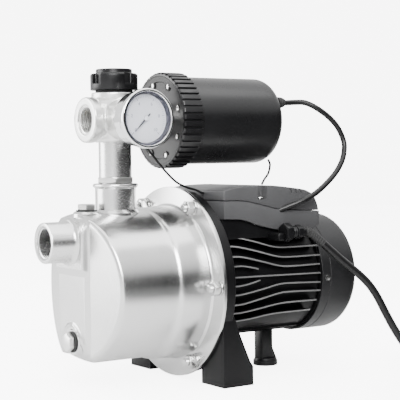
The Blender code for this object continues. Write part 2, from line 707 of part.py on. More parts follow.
# ---- cable gland ----
gland_body_rear = gland_front + 0.016
turned("cable_gland",
       [(0, gland_front), (0.0087, gland_front, 6), (0.0087, gland_front + 0.009, 6),
        (0.0066, gland_front + 0.0092), (0.0066, gland_body_rear), (0, gland_body_rear)],
       black_plastic, at=(gland_x, 0, gland_height), steps=24)
gland_nut_front = gland_body_rear + gap
gland_exit = gland_nut_front + 0.012
turned("gland_nut",
       [(0, gland_nut_front), (0.0068, gland_nut_front, 6), (0.0068, gland_nut_front + 0.007, 6),
        (0.0058, gland_exit - 0.002), (0.0050, gland_exit), (0, gland_exit)],
       black_plastic, at=(gland_x, 0, gland_height), steps=24)
gland_arm = block("gland_arm", (0.040, gland_front - 0.014, gland_height - 0.009),
                  (gland_x + 0.008, gland_front - gap, gland_height - 0.0002), black_paint)
combine(motor_housing, gland_arm, "UNION")

# ---- riser, five-way body, check valve and cap ----
riser_low = discharge_rim_height - 0.012
socket_top = body_bottom + 0.007
turned("riser_nipple",
       [(pipe_bore, riser_low), (port_bore - gap, riser_low), (port_bore - gap, discharge_rim_height + gap),
        (riser_hex / 2, discharge_rim_height + gap, 6), (riser_hex / 2, discharge_rim_height + 0.0065, 6),
        (pipe_radius, discharge_rim_height + 0.0068), (pipe_radius, socket_top), (pipe_bore, socket_top)],
       nickel, axis="Z", at=(0, discharge_station, 0), steps=24)
front_reach = discharge_station - body_port_reach
five_way_body = turned("five_way_body",
                       [(0, body_bottom), (body_radius, body_bottom), (body_radius, body_top - 0.006),
                        (cap_radius - 0.001, body_top - 0.003), (cap_radius - 0.001, body_top), (0, body_top)],
                       nickel, axis="Z", at=(0, discharge_station, 0), steps=24)
front_port = turned("front_port",
                    [(0, front_reach), (body_port_radius, front_reach), (body_port_radius, front_reach + 0.009),
                     (body_port_radius - 0.0035, front_reach + 0.012),
                     (body_port_radius - 0.0035, discharge_station + 0.004), (0, discharge_station + 0.004)],
                    nickel, at=controller_line, steps=24)
rear_port_end = controller_front + 0.002
rear_port = rod("rear_port", 0.0185, discharge_station - 0.004, rear_port_end, at=controller_line, steps=24)
gauge_rear = gauge_face - gauge_depth
stem_start = gauge_rear - 0.0115
side_port = rod("side_port", side_port_radius, 0, gauge_rear - 2 * gap, "X", body_centre, 24)
for helper in (front_port, rear_port, side_port):
    combine(five_way_body, helper, "UNION")
combine(five_way_body, rod("through_bore", body_bore - 0.0006, front_reach - 0.01, rear_port_end + 0.01,
                           at=controller_line, steps=24))
riser_line = (0, discharge_station, 0)
combine(five_way_body, rod("riser_socket", pipe_radius + gap, body_bottom - 0.01, socket_top + gap, "Z",
                           riser_line, 24))
seat_top = socket_top + 0.003
combine(five_way_body, rod("valve_seat", seat_bore, body_bottom, body_height, "Z", riser_line, 24))
combine(five_way_body, rod("cap_bore", body_bore, seat_top, body_top + 0.01, "Z", riser_line, 24))
combine(five_way_body, rod("gauge_bore", 0.0055, 0.005, 0.06, "X", body_centre, 16))
combine(five_way_body, rod("gauge_recess", gauge_hex / 2 + 0.0025, stem_start - gap, 0.06, "X", body_centre, 24))

cap_seat = body_top + gap + 0.0024
poppet_seat = seat_top + gap
stem_room = 0.0034
stem_length = cap_seat - thread_depth - stem_room - valve_lift - poppet_seat
valve_axis = empty("valve_axis", (0, discharge_station, poppet_seat))
turned("check_valve_poppet",
       [(0, 0), (body_bore - 0.0012, 0), (body_bore - 0.0012, 0.003), (0.0022, 0.004),
        (0.0022, stem_length), (0, stem_length)],
       brass, axis="Z", parent=valve_axis, steps=24)
cap_ring_axis = empty("cap_ring_axis", (0, discharge_station, cap_seat))
cap_axis = empty("cap_axis", (0, 0, 0), cap_ring_axis)
section = [(0.0182 + 0.00115 * cos(a), -0.0012 + 0.00115 * sin(a))
           for a in np.linspace(0, 2 * pi, 6, endpoint=False)]
turned("cap_o_ring", section, rubber, axis="Z", parent=cap_ring_axis, steps=24)
cap_height = cap_top - cap_seat
lobe_height = 0.0154
crown_radius = 0.0185
fill_cap = turned("fill_cap",
                  [(0, -thread_depth), (body_bore - 0.0005, -thread_depth), (body_bore - 0.0005, gap),
                   (cap_radius, gap), (cap_radius, lobe_height), (cap_radius - 0.003, lobe_height + 0.0025),
                   (crown_radius, lobe_height + 0.0025), (crown_radius, cap_height - 0.001),
                   (crown_radius - 0.002, cap_height), (0, cap_height)],
                  black_plastic, axis="Z", parent=cap_axis, steps=28)
notch_shape = bmesh.new()
for index in range(4):
    turn = radians(45 + 90 * index - 34)
    where = (Matrix.Rotation(turn, 4, "Z") @ Matrix.Translation((cap_radius, 0, 0.0115))
             @ Matrix.Diagonal((0.011, 0.0125, 0.017, 1)))
    bmesh.ops.create_cube(notch_shape, size=1, matrix=where)
combine(fill_cap, place("cap_notches", notch_shape, steel, parent=cap_axis))

spring_low = seat_top + gap + 0.0045
spring_high = cap_seat - thread_depth - gap
spring_turns = 4.5
spring_radius = 0.0062
wire_radius = 0.0006
coil = []
for t in np.linspace(0, 1, int(spring_turns * 12) + 1):
    turn = 2 * pi * spring_turns * t
    rise = spring_low + wire_radius + (spring_high - spring_low - 2 * wire_radius) * t
    coil.append((spring_radius * cos(turn), discharge_station + spring_radius * sin(turn), rise))


wire("check_valve_spring", coil, wire_radius, steel, resolution=1)

# ---- pressure gauge ----
case_wall = 0.0018
bezel_lip = 0.0035
can_radius = gauge_radius - 0.002
dial_face = gauge_face - 0.0065
turned("gauge_case",
       [(0, stem_start), (gauge_hex / 2, stem_start, 6), (gauge_hex / 2, gauge_rear - 0.0025, 6),
        (0.0060, gauge_rear - 0.0023), (0.0060, gauge_rear), (gauge_radius - bezel_lip, gauge_rear),
        (can_radius, gauge_rear + 0.001), (can_radius, gauge_face - 0.006),
        (gauge_radius, gauge_face - 0.005), (gauge_radius, gauge_face - 0.001),
        (gauge_radius - 0.001, gauge_face), (gauge_radius - bezel_lip, gauge_face),
        (gauge_radius - bezel_lip, gauge_face - 0.0012), (can_radius - case_wall, gauge_face - 0.0012),
        (can_radius - case_wall, gauge_rear + case_wall), (0, gauge_rear + case_wall)],
       stainless, axis="X", at=body_centre, steps=28)
dial_radius = can_radius - case_wall - gap
for name, rear, front, material in (("gauge_dial", dial_face - 0.0008, dial_face, dial_white),
                                    ("gauge_lens", gauge_face - 0.0030, gauge_face - 0.0015, clear_glass)):
    turned(name, [(0, rear), (dial_radius, rear), (dial_radius, front), (0, front)], material,
           axis="X", at=body_centre, steps=28)
needle_axis = empty("needle_axis", body_centre)
zero_turn = radians(225)
needle_outline = []
for turn, reach in ((0, 0.0185), (18, 0.0024), (60, 0.0024), (110, 0.0024), (163, 0.0026), (176, 0.0065),
                    (184, 0.0065), (197, 0.0026), (250, 0.0024), (300, 0.0024), (342, 0.0024)):
    needle_outline.append((reach * cos(zero_turn + radians(turn)), reach * sin(zero_turn + radians(turn))))
extruded("gauge_needle", needle_outline, dial_face + 0.0009, dial_face + 0.0018, needle_black,
         parent=needle_axis)

# ---- pressure controller ----
cover_plate = 0.004
ring_inner = controller_radius + 0.0008
ring_front = controller_front + gap
ring_rear = controller_front + ring_length
turned("controller_ring",
       [(ring_inner, ring_front), (ring_radius - 0.001, ring_front), (ring_radius, ring_front + 0.001),
        (ring_radius, ring_rear - 0.001), (ring_radius - 0.001, ring_rear), (ring_inner, ring_rear)],
       black_plastic, at=controller_line)
turned("controller_cover",
       [(0.0195, controller_front), (controller_radius + gap, controller_front),
        (controller_radius + gap, controller_front + cover_plate), (0.0195, controller_front + cover_plate)],
       black_plastic, at=controller_line)
body_front = controller_front + cover_plate + gap
shoulder = 0.014
body_inner = controller_radius - controller_wall
inner_rear = controller_rear - controller_wall
turned("controller_body",
       [(controller_radius, body_front), (controller_radius, controller_rear - shoulder),
        (controller_radius - 0.0019, controller_rear - 0.007),
        (controller_radius - 0.007, controller_rear - 0.0019),
        (controller_radius - shoulder, controller_rear), (0, controller_rear), (0, inner_rear),
        (body_inner - shoulder, inner_rear), (body_inner, inner_rear - shoulder), (body_inner, body_front)],
       black_plastic, at=controller_line)
board_height = body_height + 0.012
block("controller_board", (-0.030, 0.030, board_height), (0.030, 0.100, board_height + 0.0016), board_green)
boss_radius = 0.0062
boss_rear = controller_rear + 0.004
boss_tip = boss_rear + 0.006
boss_x, boss_height = 0.0265, body_height + 0.0194
turned("controller_gland",
       [(0, controller_rear + gap), (boss_radius, controller_rear + gap), (boss_radius, boss_rear),
        (0.0045, boss_tip), (0, boss_tip)],
       rubber, at=(boss_x, 0, boss_height), steps=24)

# ---- cables held at both ends ----
cable("controller_cable",
      [(boss_x, boss_tip + gap, boss_height), (boss_x, boss_tip + 0.0043, boss_height),
       *above_shaft((0.029, 0.147, 0.1890), (0.034, 0.157, 0.1885), (0.041, 0.1672, 0.1827),
                    (0.046, 0.181, 0.1723), (0.050, 0.1903, 0.1607), (0.053, 0.1958, 0.1462),
                    (0.056, 0.1940, 0.1363), (0.060, 0.1876, 0.1250), (0.0635, 0.1755, 0.1120),
                    (0.0675, 0.1590, 0.1005), (0.0690, 0.1425, 0.0903)),
       lead_outside, (lead_outside + lead_inside) / 2, lead_inside],
      controller_cable_radius)
cable("rear_sensor_wire",
      [(0.020, 0.116, body_height - controller_radius + 0.0036),
       *above_shaft((0.020, 0.1185, 0.1215), (0.019, 0.1170, 0.1120), (0.018, 0.1120, 0.1050),
                    (0.018, 0.1085, 0.0997))],
      sensor_wire_radius)
cable("front_sensor_wire",
      above_shaft((0.0172, discharge_station + 0.018, 0.1515), (0.019, -0.034, 0.1355),
                  (0.020, -0.019, 0.1185), (0.0205, -0.004, 0.1050), (0.021, 0.009, 0.0990),
                  (0.0215, 0.020, 0.0960), (0.0217, 0.0255, 0.0935), (0.0218, box_front - 2 * gap, 0.0920)),
      sensor_wire_radius)

# ---- mains cord, its coil and plug ----
coil_centre = Vector((0.098, 0.322))
coil_low = coil_mid_radius - 2 * mains_radius
coil_high = coil_mid_radius + 2 * mains_radius
coil_height = 4 * mains_radius
beside_coil = coil_high + mains_radius + gap
coil_contact = radians(-47)
meeting = coil_centre + beside_coil * Vector((cos(coil_contact), sin(coil_contact)))
# the fall to the floor: x, y and the share of the gland's height
mains_fall = [(0.07, 0.1425, 0.9518), (0.073, 0.155, 0.8790), (0.0765, 0.1733, 0.7773), (0.0805, 0.192, 0.6788),
              (0.084, 0.204, 0.5988), (0.087, 0.2135, 0.5056), (0.091, 0.2215, 0.3900), (0.097, 0.2305, 0.2578),
              (0.105, 0.2405, 0.1322), (0.115, 0.251, 0.0595)]
cable("mains_cord",
      [(gland_x, gland_exit + gap, gland_height), (gland_x, gland_exit + 0.005, gland_height),
       *((x, y, share * gland_height) for x, y, share in mains_fall),
       (0.1270, 0.2635, mains_radius), (*meeting, mains_radius)],
      mains_radius)
turned("mains_cord_coil",
       [(coil_low, 0), (coil_high, 0), (coil_high, coil_height), (coil_low, coil_height)],
       cord_black, axis="Z", at=(*coil_centre, 0), steps=32)
plug_radius = 0.0125
on_coil = coil_height + gap
tail_shift = 0.013
tail_radius = coil_mid_radius - tail_shift
plug_tail = coil_centre + Vector((tail_radius, -tail_shift))
plug_height = on_coil + plug_radius
tail_height = on_coil + mains_radius
cord_tail = []
for turn, radius, shift, rise in ((-135, coil_mid_radius, 0, 0), (-112, coil_mid_radius, 0, 0),
                                  (-90, coil_mid_radius, 0, 0.1), (-68, tail_radius, tail_shift, 0.25),
                                  (-45, tail_radius, tail_shift, 0.55), (-20, tail_radius, tail_shift, 0.9),
                                  (-6, tail_radius, tail_shift, 1), (0, tail_radius, tail_shift, 1)):
    across = coil_centre + Vector((radius * cos(radians(turn)), radius * sin(radians(turn)) - shift))
    cord_tail.append((*across, tail_height + rise * (plug_height - tail_height)))
cable("mains_cord_tail", cord_tail, mains_radius)
plug_length = 0.040
plug_front = plug_tail.y + 2 * gap + plug_length
mains_plug = turned("mains_plug",
                    [(0, -plug_length), (0.0060, -plug_length), (0.0100, -0.030), (plug_radius, -0.026),
                     (plug_radius, 0), (0, 0)],
                    black_plastic, at=(plug_tail.x, plug_front, plug_height), steps=24)
for side, x in (("left", -0.0065), ("right", 0.0065)):
    pin = rod(f"{side}_pin", 0.0024, -0.002, 0.0193, at=(plug_tail.x + x, plug_front, plug_height), steps=12)
    combine(mains_plug, pin, "UNION")
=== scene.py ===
from math import cos, pi, radians, sin, sqrt
import bmesh
import bpy
from mathutils import Matrix, Vector


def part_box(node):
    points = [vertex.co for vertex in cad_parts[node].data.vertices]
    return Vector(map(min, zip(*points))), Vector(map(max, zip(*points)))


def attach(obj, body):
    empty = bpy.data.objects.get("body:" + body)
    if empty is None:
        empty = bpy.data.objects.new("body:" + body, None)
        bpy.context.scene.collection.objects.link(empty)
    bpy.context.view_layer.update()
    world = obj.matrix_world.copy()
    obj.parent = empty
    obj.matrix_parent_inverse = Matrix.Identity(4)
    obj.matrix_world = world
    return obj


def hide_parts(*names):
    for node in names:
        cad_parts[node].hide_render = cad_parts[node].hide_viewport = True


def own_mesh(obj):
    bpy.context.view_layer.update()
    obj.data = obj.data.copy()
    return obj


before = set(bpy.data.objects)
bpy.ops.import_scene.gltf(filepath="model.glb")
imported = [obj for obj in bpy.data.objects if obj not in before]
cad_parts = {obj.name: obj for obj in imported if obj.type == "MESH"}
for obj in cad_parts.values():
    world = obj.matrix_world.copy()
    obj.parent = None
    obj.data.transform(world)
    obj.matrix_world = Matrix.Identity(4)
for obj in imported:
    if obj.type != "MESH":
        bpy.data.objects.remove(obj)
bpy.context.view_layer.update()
scene = bpy.context.scene


# where the pump's own lines run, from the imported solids
def middle(node):
    low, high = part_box(node)
    return (low + high) / 2


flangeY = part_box("pump_casing")[1].y - 0.004   # front face of the casing's flange
shaftLine = Vector((0, flangeY, middle("motor_shaft").z))
pipeLine = Vector((0, middle("riser_nipple").y, 0))
crossing = Vector((0, pipeLine.y, middle("controller_body").z))
gaugeLine = Vector((0, crossing.y, crossing.z))
controllerLine = Vector((0, flangeY, crossing.z))


def stationed(*point):
    # a place given from the flange's face, as the lengths along the shaft are
    return Vector((point[0], point[1] + flangeY, point[2]))


# camera and cords first
camera = {"place": (1.0977, -0.72915, 0.236), "yaw": 56.05, "down": 2.17, "roll": -0.67, "lens": 111.24}

bpy.ops.object.camera_add(location=camera["place"])
eye = bpy.context.object
eye.name = "studioCamera"
turnBy = Matrix.Rotation(radians(camera["yaw"]), 4, "Z")
tiltBy = Matrix.Rotation(radians(90 - camera["down"]), 4, "X")
eye.matrix_world = (Matrix.Translation(camera["place"]) @ turnBy @ tiltBy
                    @ Matrix.Rotation(radians(camera["roll"]), 4, "Z"))
eye.data.lens = camera["lens"]
eye.data.sensor_width = 36
eye.data.clip_end = 50
scene.camera = eye


def smoothRoute(points, spacing):
    # an even curve through the points given
    route = [Vector(p) for p in points]
    knots = [0.0]
    for a, b in zip(route, route[1:]):
        knots.append(knots[-1] + (b - a).length ** 0.5)
    slopes = []
    for i in range(len(route)):
        before, after = max(i - 1, 0), min(i + 1, len(route) - 1)
        slopes.append((route[after] - route[before]) / (knots[after] - knots[before]))
    fine = []
    for i, span in enumerate(b - a for a, b in zip(knots, knots[1:])):
        pieces = max(1, round((route[i + 1] - route[i]).length / spacing))
        for step in range(pieces):
            t = step / pieces
            fine.append((2 * t**3 - 3 * t**2 + 1) * route[i] + (t**3 - 2 * t**2 + t) * span * slopes[i]
                        + (3 * t**2 - 2 * t**3) * route[i + 1] + (t**3 - t**2) * span * slopes[i + 1])
    return fine + [route[-1]]


def routeLength(points):
    return sum((b - a).length for a, b in zip(points, points[1:]))


def cordPiece(name, points, radius, sides=6):
    bpy.ops.object.select_all(action="DESELECT")
    bpy.ops.curve.primitive_nurbs_path_add(location=(0, 0, 0))
    piece = bpy.context.object
    piece.name = name
    line = piece.data
    line.splines.clear()
    run = line.splines.new("POLY")
    run.points.add(len(points) - 1)
    for target, point in zip(run.points, points):
        target.co = (*point, 1)
    line.dimensions = "3D"
    line.bevel_depth = radius
    line.bevel_resolution = sides
    line.use_fill_caps = True
    return piece


mains = {
    "radius": 0.0043,
    "coilCentre": (0.098, 0.322), "coilRadius": 0.047,
    "glandX": 0.0685, "glandZ": 0.1513, "exitY": 0.1263,
}
gap = 0.0003
mainsStart = (mains["glandX"], mains["exitY"] + gap, mains["glandZ"])
mainsStretch = [
    mainsStart, (mains["glandX"], mains["exitY"] + 0.005, mains["glandZ"]),
    (0.0700, 0.1425, 0.1440), (0.073, 0.1550, 0.1330), (0.0765, 0.1733, 0.1176), (0.0805, 0.1920, 0.1027),
    (0.084, 0.2040, 0.0906), (0.087, 0.2135, 0.0765), (0.091, 0.2215, 0.0590), (0.097, 0.2305, 0.0390),
    (0.105, 0.2405, 0.0200), (0.1150, 0.2510, 0.0090), (0.1270, 0.2635, mains["radius"]),
]


def between(value, start, end):
    # 0 before start, 1 after end and a smooth rise between
    t = min(max((value - start) / (end - start), 0), 1)
    return t * t * (3 - 2 * t)


def coilPath():
    r = mains["radius"]
    inner, outer = mains["coilRadius"] - r, mains["coilRadius"] + r
    meeting = outer + 2 * r + gap
    centre = Vector(mains["coilCentre"])
    path = []
    # four laps: outer and inner on the floor, then inner and outer on top
    for degree in range(-47, 1306, 6):
        radius = meeting + (outer - meeting) * between(degree, -47, 13)
        radius -= (outer - inner) * between(degree, 313, 373)
        radius += (outer - inner) * between(degree, 913, 973)
        radius -= (outer - mains["coilRadius"]) * between(degree, 1253, 1305)
        level = r + 2 * r * between(degree, 613, 673) + 2 * (r + gap) * between(degree, 1193, 1253)
        angle = radians(degree)
        path.append((centre.x + radius * cos(angle), centre.y + radius * sin(angle), level))
    return path


def plugTail():
    # over the coil's turns and up to the plug that lies on them
    r, ring = mains["radius"], mains["coilRadius"]
    centre = Vector(mains["coilCentre"])
    top = 4 * r + gap
    tail = []
    for degree, radius, shift, rise in ((-112, ring, 0, 0), (-90, ring, 0, 0.1), (-68, ring - 0.013, 0.013, 0.25),
                                        (-45, ring - 0.013, 0.013, 0.55), (-20, ring - 0.013, 0.013, 0.9),
                                        (-6, ring - 0.013, 0.013, 1), (0, ring - 0.013, 0.013, 1)):
        angle = radians(degree)
        tail.append((centre.x + radius * cos(angle), centre.y - shift + radius * sin(angle),
                     top + r + rise * (0.0125 - r)))
    return tail


mainsPath = smoothRoute([stationed(*p) for p in mainsStretch + coilPath() + plugTail()], 0.006)
mainsCord = cordPiece("mainsCord", mainsPath, mains["radius"])

controllerCablePath = smoothRoute([stationed(*p) for p in (
    (0.0265, 0.1333, 0.2900), (0.0265, 0.1373, 0.2900), (0.029, 0.147, 0.2905), (0.034, 0.157, 0.2900),
    (0.041, 0.1672, 0.2842), (0.046, 0.181, 0.2738), (0.050, 0.1903, 0.2622), (0.053, 0.1958, 0.2477),
    (0.056, 0.1940, 0.2378), (0.060, 0.1876, 0.2265), (0.0635, 0.1755, 0.2135), (0.0675, 0.1590, 0.2020),
    (0.0690, 0.1425, 0.1918), (0.0675, 0.1265, 0.1842), (0.05875, 0.1095, 0.17685), (0.0500, 0.0925, 0.1695))], 0.004)
controllerCable = cordPiece("controllerCable", controllerCablePath, 0.003)
rearWirePath = smoothRoute([stationed(*p) for p in (
    (0.020, 0.116, 0.2282), (0.020, 0.1185, 0.2230), (0.019, 0.1170, 0.2135), (0.018, 0.1120, 0.2065),
    (0.018, 0.1085, 0.2012))], 0.002)
rearSensorWire = cordPiece("rearSensorWire", rearWirePath, 0.00125, 3)
frontWirePath = smoothRoute([stationed(*p) for p in (
    (0.0172, -0.0468, 0.2530), (0.019, -0.034, 0.2370), (0.020, -0.019, 0.2200), (0.0205, -0.004, 0.2065),
    (0.021, 0.009, 0.2005), (0.0215, 0.020, 0.1975), (0.0217, 0.0255, 0.1950), (0.0218, 0.0294, 0.1935))], 0.003)
frontSensorWire = cordPiece("frontSensorWire", frontWirePath, 0.00125, 3)
print("cords laid:", round(routeLength(mainsPath), 4), round(routeLength(controllerCablePath), 4),
      round(routeLength(rearWirePath), 4), round(routeLength(frontWirePath), 4))


# modelling helpers
def selectOnly(*pieces):
    if bpy.context.mode != "OBJECT":
        bpy.ops.object.mode_set(mode="OBJECT")
    bpy.ops.object.select_all(action="DESELECT")
    for piece in pieces:
        piece.select_set(True)
    if pieces:
        bpy.context.view_layer.objects.active = pieces[0]


def editAll(piece):
    selectOnly(piece)
    bpy.ops.object.mode_set(mode="EDIT")
    bpy.ops.mesh.select_all(action="SELECT")


def settle(piece):
    # doubles merged, faces turned out, and the object back at the origin with its place in its mesh
    if bpy.context.mode != "EDIT_MESH":
        editAll(piece)
    bpy.ops.mesh.select_all(action="SELECT")
    bpy.ops.mesh.remove_doubles(threshold=0.00001)
    bpy.ops.mesh.normals_make_consistent(inside=False)
    bpy.ops.object.mode_set(mode="OBJECT")
    bpy.ops.object.transform_apply(location=True, rotation=True, scale=True)
    return piece


def drawn(name, points):
    # one vertex pushed from point to point
    selectOnly()
    bpy.ops.mesh.primitive_plane_add(size=0.01, location=points[0])
    piece = bpy.context.object
    piece.name = name
    bpy.ops.object.mode_set(mode="EDIT")
    bpy.ops.mesh.select_all(action="SELECT")
    bpy.ops.mesh.merge(type="CENTER")
    for a, b in zip(points, points[1:]):
        bpy.ops.mesh.extrude_region_move(TRANSFORM_OT_translate={"value": Vector(b) - Vector(a)})
    return piece


axes = {"X": (Vector((1, 0, 0)), Vector((0, 1, 0))), "Y": (Vector((0, 1, 0)), Vector((1, 0, 0))),
        "Z": (Vector((0, 0, 1)), Vector((1, 0, 0)))}


def turned(name, profile, axis, centre, steps=96):
    # a profile of (radius, along) spun right round an axis; a profile off the axis is a closed ring
    along, outward = axes[axis]
    centre = Vector(centre)
    points = [centre + outward * radius + along * place for radius, place in profile]
    if profile[0][0] > 0:
        points.append(points[0])
    piece = drawn(name, points)
    bpy.ops.mesh.select_all(action="SELECT")
    bpy.ops.mesh.spin(steps=steps, angle=2 * pi, center=centre, axis=along)
    return settle(piece)


def sheared(name, outline, axis, low, high):
    # a closed outline filled and pushed along an axis; its values are (y, z), (x, z) or (x, y)
    corner = {"X": lambda u, v: Vector((low, u, v)), "Y": lambda u, v: Vector((u, low, v)),
              "Z": lambda u, v: Vector((u, v, low))}[axis]
    points = [corner(u, v) for u, v in outline]
    piece = drawn(name, points + points[:1])
    bpy.ops.mesh.select_all(action="SELECT")
    bpy.ops.mesh.remove_doubles(threshold=0.00001)
    bpy.ops.mesh.edge_face_add()
    bpy.ops.mesh.extrude_region_move(TRANSFORM_OT_translate={"value": axes[axis][0] * (high - low)})
    return settle(piece)


def hexed(name, flats, low, high, axis, centre, sides=6, chamfer=0.0006):
    # a hexagon with its corners turned down at both ends
    centre = Vector(centre)
    along = axes[axis][0]
    radius = flats / 2 / cos(pi / sides)
    turn = {"X": (0, pi / 2, 0), "Y": (pi / 2, 0, 0), "Z": (0, 0, 0)}[axis]
    selectOnly()
    bpy.ops.mesh.primitive_cylinder_add(vertices=sides, radius=radius, depth=high - low,
                                        location=centre + along * (low + high) / 2, rotation=turn)
    piece = bpy.context.object
    piece.name = name
    bpy.ops.object.transform_apply(location=True, rotation=True, scale=True)
    turnedDown = turned(name + "Turning", [(0, low), (flats / 2 - chamfer, low), (radius + 0.0002, low + chamfer * 1.6),
                                           (radius + 0.0002, high - chamfer * 1.6), (flats / 2 - chamfer, high),
                                           (0, high)], axis, centre, 48)
    return cut(piece, turnedDown, "INTERSECT")


def cut(piece, helper, operation="DIFFERENCE", solver="EXACT"):
    selectOnly(piece)
    step = piece.modifiers.new("cut", "BOOLEAN")
    step.object, step.operation, step.solver = helper, operation, solver
    bpy.ops.object.modifier_apply(modifier=step.name)
    bpy.data.objects.remove(helper)
    return piece


def softened(piece, width, segments=2, angle=30):
    # rounded edges, for every edge sharper than the angle
    selectOnly(piece)
    step = piece.modifiers.new("soften", "BEVEL")
    step.width, step.segments, step.limit_method, step.angle_limit = width, segments, "ANGLE", radians(angle)
    step.use_clamp_overlap = True
    bpy.ops.object.modifier_apply(modifier=step.name)
    return piece


def remeshed(piece, voxel, smoothing):
    # one skin over crossing shapes, with its creases eased like a casting's
    selectOnly(piece)
    skin = piece.modifiers.new("skin", "REMESH")
    skin.mode, skin.voxel_size, skin.use_smooth_shade = "VOXEL", voxel, True
    bpy.ops.object.modifier_apply(modifier=skin.name)
    ease = piece.modifiers.new("ease", "SMOOTH")
    ease.factor, ease.iterations = 0.5, smoothing
    bpy.ops.object.modifier_apply(modifier=ease.name)
    return piece


def joined(name, *pieces):
    selectOnly(*pieces)
    bpy.ops.object.join()
    bpy.context.object.name = name
    return bpy.context.object


def copied(piece, name, moveBy):
    # a copy with its own mesh, moved by a matrix
    twin = piece.copy()
    twin.data = piece.data.copy()
    twin.data.transform(moveBy)
    twin.name = name
    scene.collection.objects.link(twin)
    return twin


def aroundLine(line, axis, angle):
    # a turn about an axis that passes through a point
    return Matrix.Translation(line) @ Matrix.Rotation(angle, 4, axis) @ Matrix.Translation(-Vector(line))


def shaded(piece, angle=30):
    selectOnly(piece)
    bpy.ops.object.shade_smooth_by_angle(angle=radians(angle))
    return piece


def handOver(piece, body, slot, material, *nodes, angle=30):
    # the finished piece gets its finish, its body and the solids that it stands for
    if piece.type == "MESH":
        shaded(piece, angle)
    piece.data.materials.clear()
    piece.data.materials.append(material)
    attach(piece, body)
    if nodes:
        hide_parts(*nodes)
    return piece


def arc(radiusAt, alongAt, size, start, end, count=6):
    # points of a round corner in a turned profile, by degrees
    return [(radiusAt + size * cos(radians(start + (end - start) * i / count)),
             alongAt + size * sin(radians(start + (end - start) * i / count))) for i in range(count + 1)]


# surface effects, as shared groups
def newGroup(name, inputs, outputs):
    group = bpy.data.node_groups.new(name, "ShaderNodeTree")
    for label, kind, value in inputs:
        socket = group.interface.new_socket(label, in_out="INPUT", socket_type=kind)
        if value is not None:
            socket.default_value = value
    for label, kind in outputs:
        group.interface.new_socket(label, in_out="OUTPUT", socket_type=kind)
    start, end = group.nodes.new("NodeGroupInput"), group.nodes.new("NodeGroupOutput")
    return group, start, end


def node(tree, kind, links=None, **settings):
    # a node with its settings, fed by the sockets given
    made = tree.nodes.new(kind)
    for key, value in settings.items():
        if hasattr(made, key):
            setattr(made, key, value)
        else:
            made.inputs[key.replace("_", " ")].default_value = value
    for key, socket in (links or {}).items():
        tree.links.new(socket, made.inputs[key])
    return made


def spread(tree, value, low, high, outLow, outHigh):
    # a value moved from one range to another
    made = node(tree, "ShaderNodeMapRange", {0: value})
    for index, number in enumerate((low, high, outLow, outHigh), start=1):
        if hasattr(number, "links"):
            tree.links.new(number, made.inputs[index])
        else:
            made.inputs[index].default_value = number
    return made.outputs[0]


def makeGrain():
    # fine tooth, slow clouding and small scuffs, for any solid material
    group, start, end = newGroup("surfaceGrain", [
        ("Tooth Size", "NodeSocketFloat", 900.0), ("Cloud Size", "NodeSocketFloat", 30.0),
        ("Smooth", "NodeSocketFloat", 0.3), ("Rough", "NodeSocketFloat", 0.45), ("Scuffs", "NodeSocketFloat", 0.1)],
        [("Roughness", "NodeSocketFloat"), ("Tone", "NodeSocketFloat"), ("Height", "NodeSocketFloat")])
    place = node(group, "ShaderNodeTexCoord").outputs["Object"]
    tooth = node(group, "ShaderNodeTexNoise", {"Vector": place, "Scale": start.outputs["Tooth Size"]}, Detail=3.0)
    cloud = node(group, "ShaderNodeTexNoise", {"Vector": place, "Scale": start.outputs["Cloud Size"]}, Detail=5.0,
                 Roughness=0.6)
    scuff = node(group, "ShaderNodeTexVoronoi", {"Vector": place}, Scale=70.0, feature="DISTANCE_TO_EDGE")
    line = spread(group, scuff.outputs["Distance"], 0.0, 0.03, 1.0, 0.0)
    patch = spread(group, cloud.outputs[0], 0.56, 0.68, 0.0, 1.0)
    worn = node(group, "ShaderNodeMath", {0: line, 1: patch}, operation="MULTIPLY")
    mark = node(group, "ShaderNodeMath", {0: worn.outputs[0], 1: start.outputs["Scuffs"]}, operation="MULTIPLY")
    base = spread(group, cloud.outputs[0], 0.3, 0.7, start.outputs["Smooth"], start.outputs["Rough"])
    rough = node(group, "ShaderNodeMath", {0: base, 1: mark.outputs[0]}, operation="ADD", use_clamp=True)
    group.links.new(rough.outputs[0], end.inputs["Roughness"])
    tone = node(group, "ShaderNodeMath", {0: cloud.outputs[0], 1: mark.outputs[0]}, operation="ADD", use_clamp=True)
    group.links.new(tone.outputs[0], end.inputs["Tone"])
    group.links.new(tooth.outputs[0], end.inputs["Height"])
    return group


